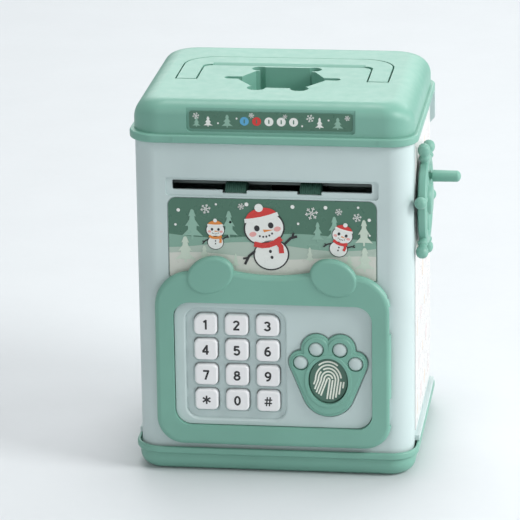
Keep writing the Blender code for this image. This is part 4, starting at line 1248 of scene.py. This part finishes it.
for i, (x, finish) in enumerate(((-12.4, blue_ink), (-6.6, red_ink), (-0.8, white_ink),
                                 (5.0, white_ink), (10.8, white_ink))):
    coin = strip_plate(ellipse((x, 175.4), 2.1, 2.1, 0, 40), 1)
    keep(coin, "strip_coin_" + str(i + 1), "casing", finish)
    hole = plate(rounded((x - 0.28, x + 0.28), (174.4, 176.4), 0.26, 5), (-57.12, -57.08), "XZ")
    keep(hole, "strip_coin_bar_" + str(i + 1), "casing", sky_ink)
print("lid strip laid")

# %% [markdown]
# ## The side films
# Each side wall carries a large white film with a very faint pattern of crystals, firs and
# dots in pink and peach. A hole in the right one lets the wheel's shaft through.

# %% The side films
for side, hand in ((-1, "left"), (1, "right")):
    wall = sorted((side * 66.05, side * 66.3))
    sheet_side = plate(rounded((-40.5, 43.5), (17.5, 161.5), 2.0), wall, "YZ")
    if side > 0:
        cut(sheet_side, rod("X", WHEEL, 6.0, (wall[0] - 1, wall[1] + 1), 48))
    keep(sheet_side, "side_film_" + hand, "casing", film_white,
         ["side_sticker_" + hand])
    shapes = {"pink": [], "peach": []}
    skin = sorted((side * 66.3, side * 66.34))
    for row in range(7):
        for column in range(4):
            u = -30.0 + 20.5 * column + 9.0 * (row % 2)
            v = 28.0 + 20.0 * row
            if u > 40 or (side > 0 and math.hypot(u - WHEEL[0], v - WHEEL[1]) < 9):
                continue
            tone = "pink" if (row + column) % 2 else "peach"
            if (row * 3 + column) % 3 == 0:
                shapes[tone].append(plate(pine(u, v - 5, 10.0, 7.0), skin, "YZ"))
            else:
                size = 2.6 + (row + 2 * column) % 3
                shapes[tone].append(plate(ellipse((u, v), size, size, 0, 32), skin, "YZ"))
    for tone, finish in (("pink", pink_ink), ("peach", peach_ink)):
        keep(join_meshes(shapes[tone]), "side_print_" + tone + "_" + hand, "casing", finish)
print("side films laid")

# %% [markdown]
# # The back
# ## Battery cover, screw, switch and speaker
# The cover has shallow finger ribs, and its screw has a cross slot. The switch knob is ribbed
# so that a thumbnail can push it.

# %% Back fittings
cover = plate(rounded((-28.6, 28.6), (24.4, 81.6), 2.6), (54.7, 56.8), "XZ")
cut(cover, rod("Y", (0, 78.0), 1.5, (50, 60), 24), rod("Y", (0, 78.0), 2.6, (55.8, 60), 32))
for i in range(6):
    z = 30.0 + 3.0 * i
    cut(cover, plate(rounded((-13, 13), (z, z + 1.3), 0.6, 4), (56.2, 58), "XZ"))
keep(cover, "battery_lid", "battery_door", pale, ["battery_cover"], edge=0.25)
head = turned([(2.2, 0.0), (2.2, 0.35), (1.9, 0.6), (1.2, 0.7)],
              Matrix.Translation((0, 56.05, 78.0)) @ Matrix.Rotation(-math.pi / 2, 4, "X"), 32)
join(head, rod("Y", (0, 78.0), 0.9, (44.0, 56.2), 20))
cut(head, block((-1.5, 1.5), (56.4, 58), (77.75, 78.25)),
    block((-0.25, 0.25), (56.4, 58), (76.5, 79.5)))
keep(head, "cross_head_screw", "battery_door", steel, ["battery_cover_screw"])
knob = block((39.4, 42.8), (50.4, 57.8), (77.85, 81.15))
for i in range(3):
    x = 40.1 + 0.95 * i
    cut(knob, block((x - 0.2, x + 0.2), (57.3, 59), (77, 82)))
keep(knob, "ribbed_switch_knob", "switch", black, ["switch_knob"], edge=0.12)
print("back fittings kept")

# %% [markdown]
# # Working parts inside
# The gears, shafts, motor, latch and boards were already drawn with their true shapes, so they
# stay as they are and only get their finishes. They show through the slots and when the door
# is open.

# %% Finishes for the working parts
WORKING = {
    steel: ("handle_pin_left", "handle_pin_right", "feed_shaft", "pinch_shaft", "motor_pinion",
            "feed_motor", "wheel_shaft", "lock_solenoid", "lock_plunger", "hinge_pin_upper",
            "hinge_pin_lower"),
    pale: ("roller_bracket_left", "roller_bracket_right", "note_guide", "door_back_cover"),
    black: ("latch_bar", "battery_box", "switch_body", "speaker"),
    nylon: ("idler_gear",),
    board: ("circuit_board",),
    dome_rubber: ("key_mat",),
}
for finish, names in WORKING.items():
    for name in names:
        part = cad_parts[name]
        if not part.material_slots:
            part.data.materials.append(finish)
        part.material_slots[0].link = "OBJECT"
        part.material_slots[0].material = finish
print("working parts finished:", sum(len(names) for names in WORKING.values()))

# %% [markdown]
# # The studio
# ## Floor and light
# The bank stands on a plain pale sweep. Soft boxes on the right give the bright right-hand
# edges. A wide one behind and above is mirrored in the flat lid as a soft sheen, a weak one
# fills the front, and the world adds an even tone so that no shadow goes black.

# %% The floor
sweep = bmesh.new()
path = [(-3.0, 0.0)]
for k in range(13):
    a = math.radians(7.5 * k)
    path.append((1.6 + 1.0 * math.sin(a), 1.0 - 1.0 * math.cos(a)))
path.append((2.6, 4.0))
rows = [[sweep.verts.new((x, y, z)) for y, z in path] for x in (-4.0, 4.0)]
for i in range(len(path) - 1):
    sweep.faces.new((rows[0][i], rows[1][i], rows[1][i + 1], rows[0][i + 1]))
mesh = bpy.data.meshes.new("studio_sweep")
sweep.to_mesh(mesh)
sweep.free()
floor = bpy.data.objects.new("studio_sweep", mesh)
bpy.context.scene.collection.objects.link(floor)
floor.data.materials.append(plastic("studio_paper", (0.66, 0.69, 0.71), 0.6, 0.02, 0.01))
floor.data.shade_smooth()
print("floor ready")

# %% The lights
TARGET = Vector((0, 0, 0.095))


def soft_box(name, place, size, power, tint=(1, 1, 1)):
    lamp = bpy.data.lights.new(name, "AREA")
    lamp.shape = "RECTANGLE"
    lamp.size = size[0]
    lamp.size_y = size[1]
    lamp.energy = power
    lamp.color = tint
    lamp_object = bpy.data.objects.new(name, lamp)
    bpy.context.scene.collection.objects.link(lamp_object)
    lamp_object.location = place
    aim = TARGET - Vector(place)
    lamp_object.rotation_euler = aim.to_track_quat("-Z", "Y").to_euler()
    return lamp_object


soft_box("right_key", (1.15, -0.38, 0.85), (0.5, 0.5), 12.5)
soft_box("right_kicker", (1.25, 0.25, 0.3), (0.6, 0.6), 4.6)
soft_box("back_sheen", (0.15, 1.3, 0.85), (2.0, 0.8), 12.5)
soft_box("top_light", (-0.1, 0.1, 1.4), (0.7, 0.5), 7.0)
soft_box("front_fill", (-0.3, -1.5, 0.75), (1.2, 1.0), 4.0)
world = bpy.data.worlds.new("studio_air")
world.use_nodes = True
world.node_tree.nodes["Background"].inputs["Color"].default_value = (0.93, 0.96, 0.97, 1)
world.node_tree.nodes["Background"].inputs["Strength"].default_value = 0.36
bpy.context.scene.world = world
bpy.context.scene.view_settings.view_transform = "Standard"
print("lights ready")

# %% [markdown]
# ## The camera
# The camera looks slightly down and from a little to the right, through a long lens, so the
# upright edges stay almost parallel. The lens shift keeps the bank where it sits in the frame.

# %% The camera
AZIMUTH = math.radians(7.22)
ELEVATION = math.radians(17.30)
ROLL = math.radians(-0.702)
DISTANCE = 1.6613
back_way = Vector((math.sin(AZIMUTH) * math.cos(ELEVATION),
                   -math.cos(AZIMUTH) * math.cos(ELEVATION), math.sin(ELEVATION)))
right_way = Vector((math.cos(AZIMUTH), math.sin(AZIMUTH), 0))
up_way = back_way.cross(right_way)
rolled_right = right_way * math.cos(ROLL) + up_way * math.sin(ROLL)
rolled_up = up_way * math.cos(ROLL) - right_way * math.sin(ROLL)
lens = bpy.data.cameras.new("studio_camera")
lens.sensor_width = 36.0
lens.lens = 235.27
lens.shift_x = -0.0527
lens.shift_y = -0.0386
camera = bpy.data.objects.new("studio_camera", lens)
bpy.context.scene.collection.objects.link(camera)
place = Matrix((rolled_right, rolled_up, back_way)).transposed().to_4x4()
place.translation = Vector((0, 0, 0.1)) + back_way * DISTANCE
camera.matrix_world = place
bpy.context.scene.camera = camera
print("camera at", [round(v, 3) for v in place.translation])
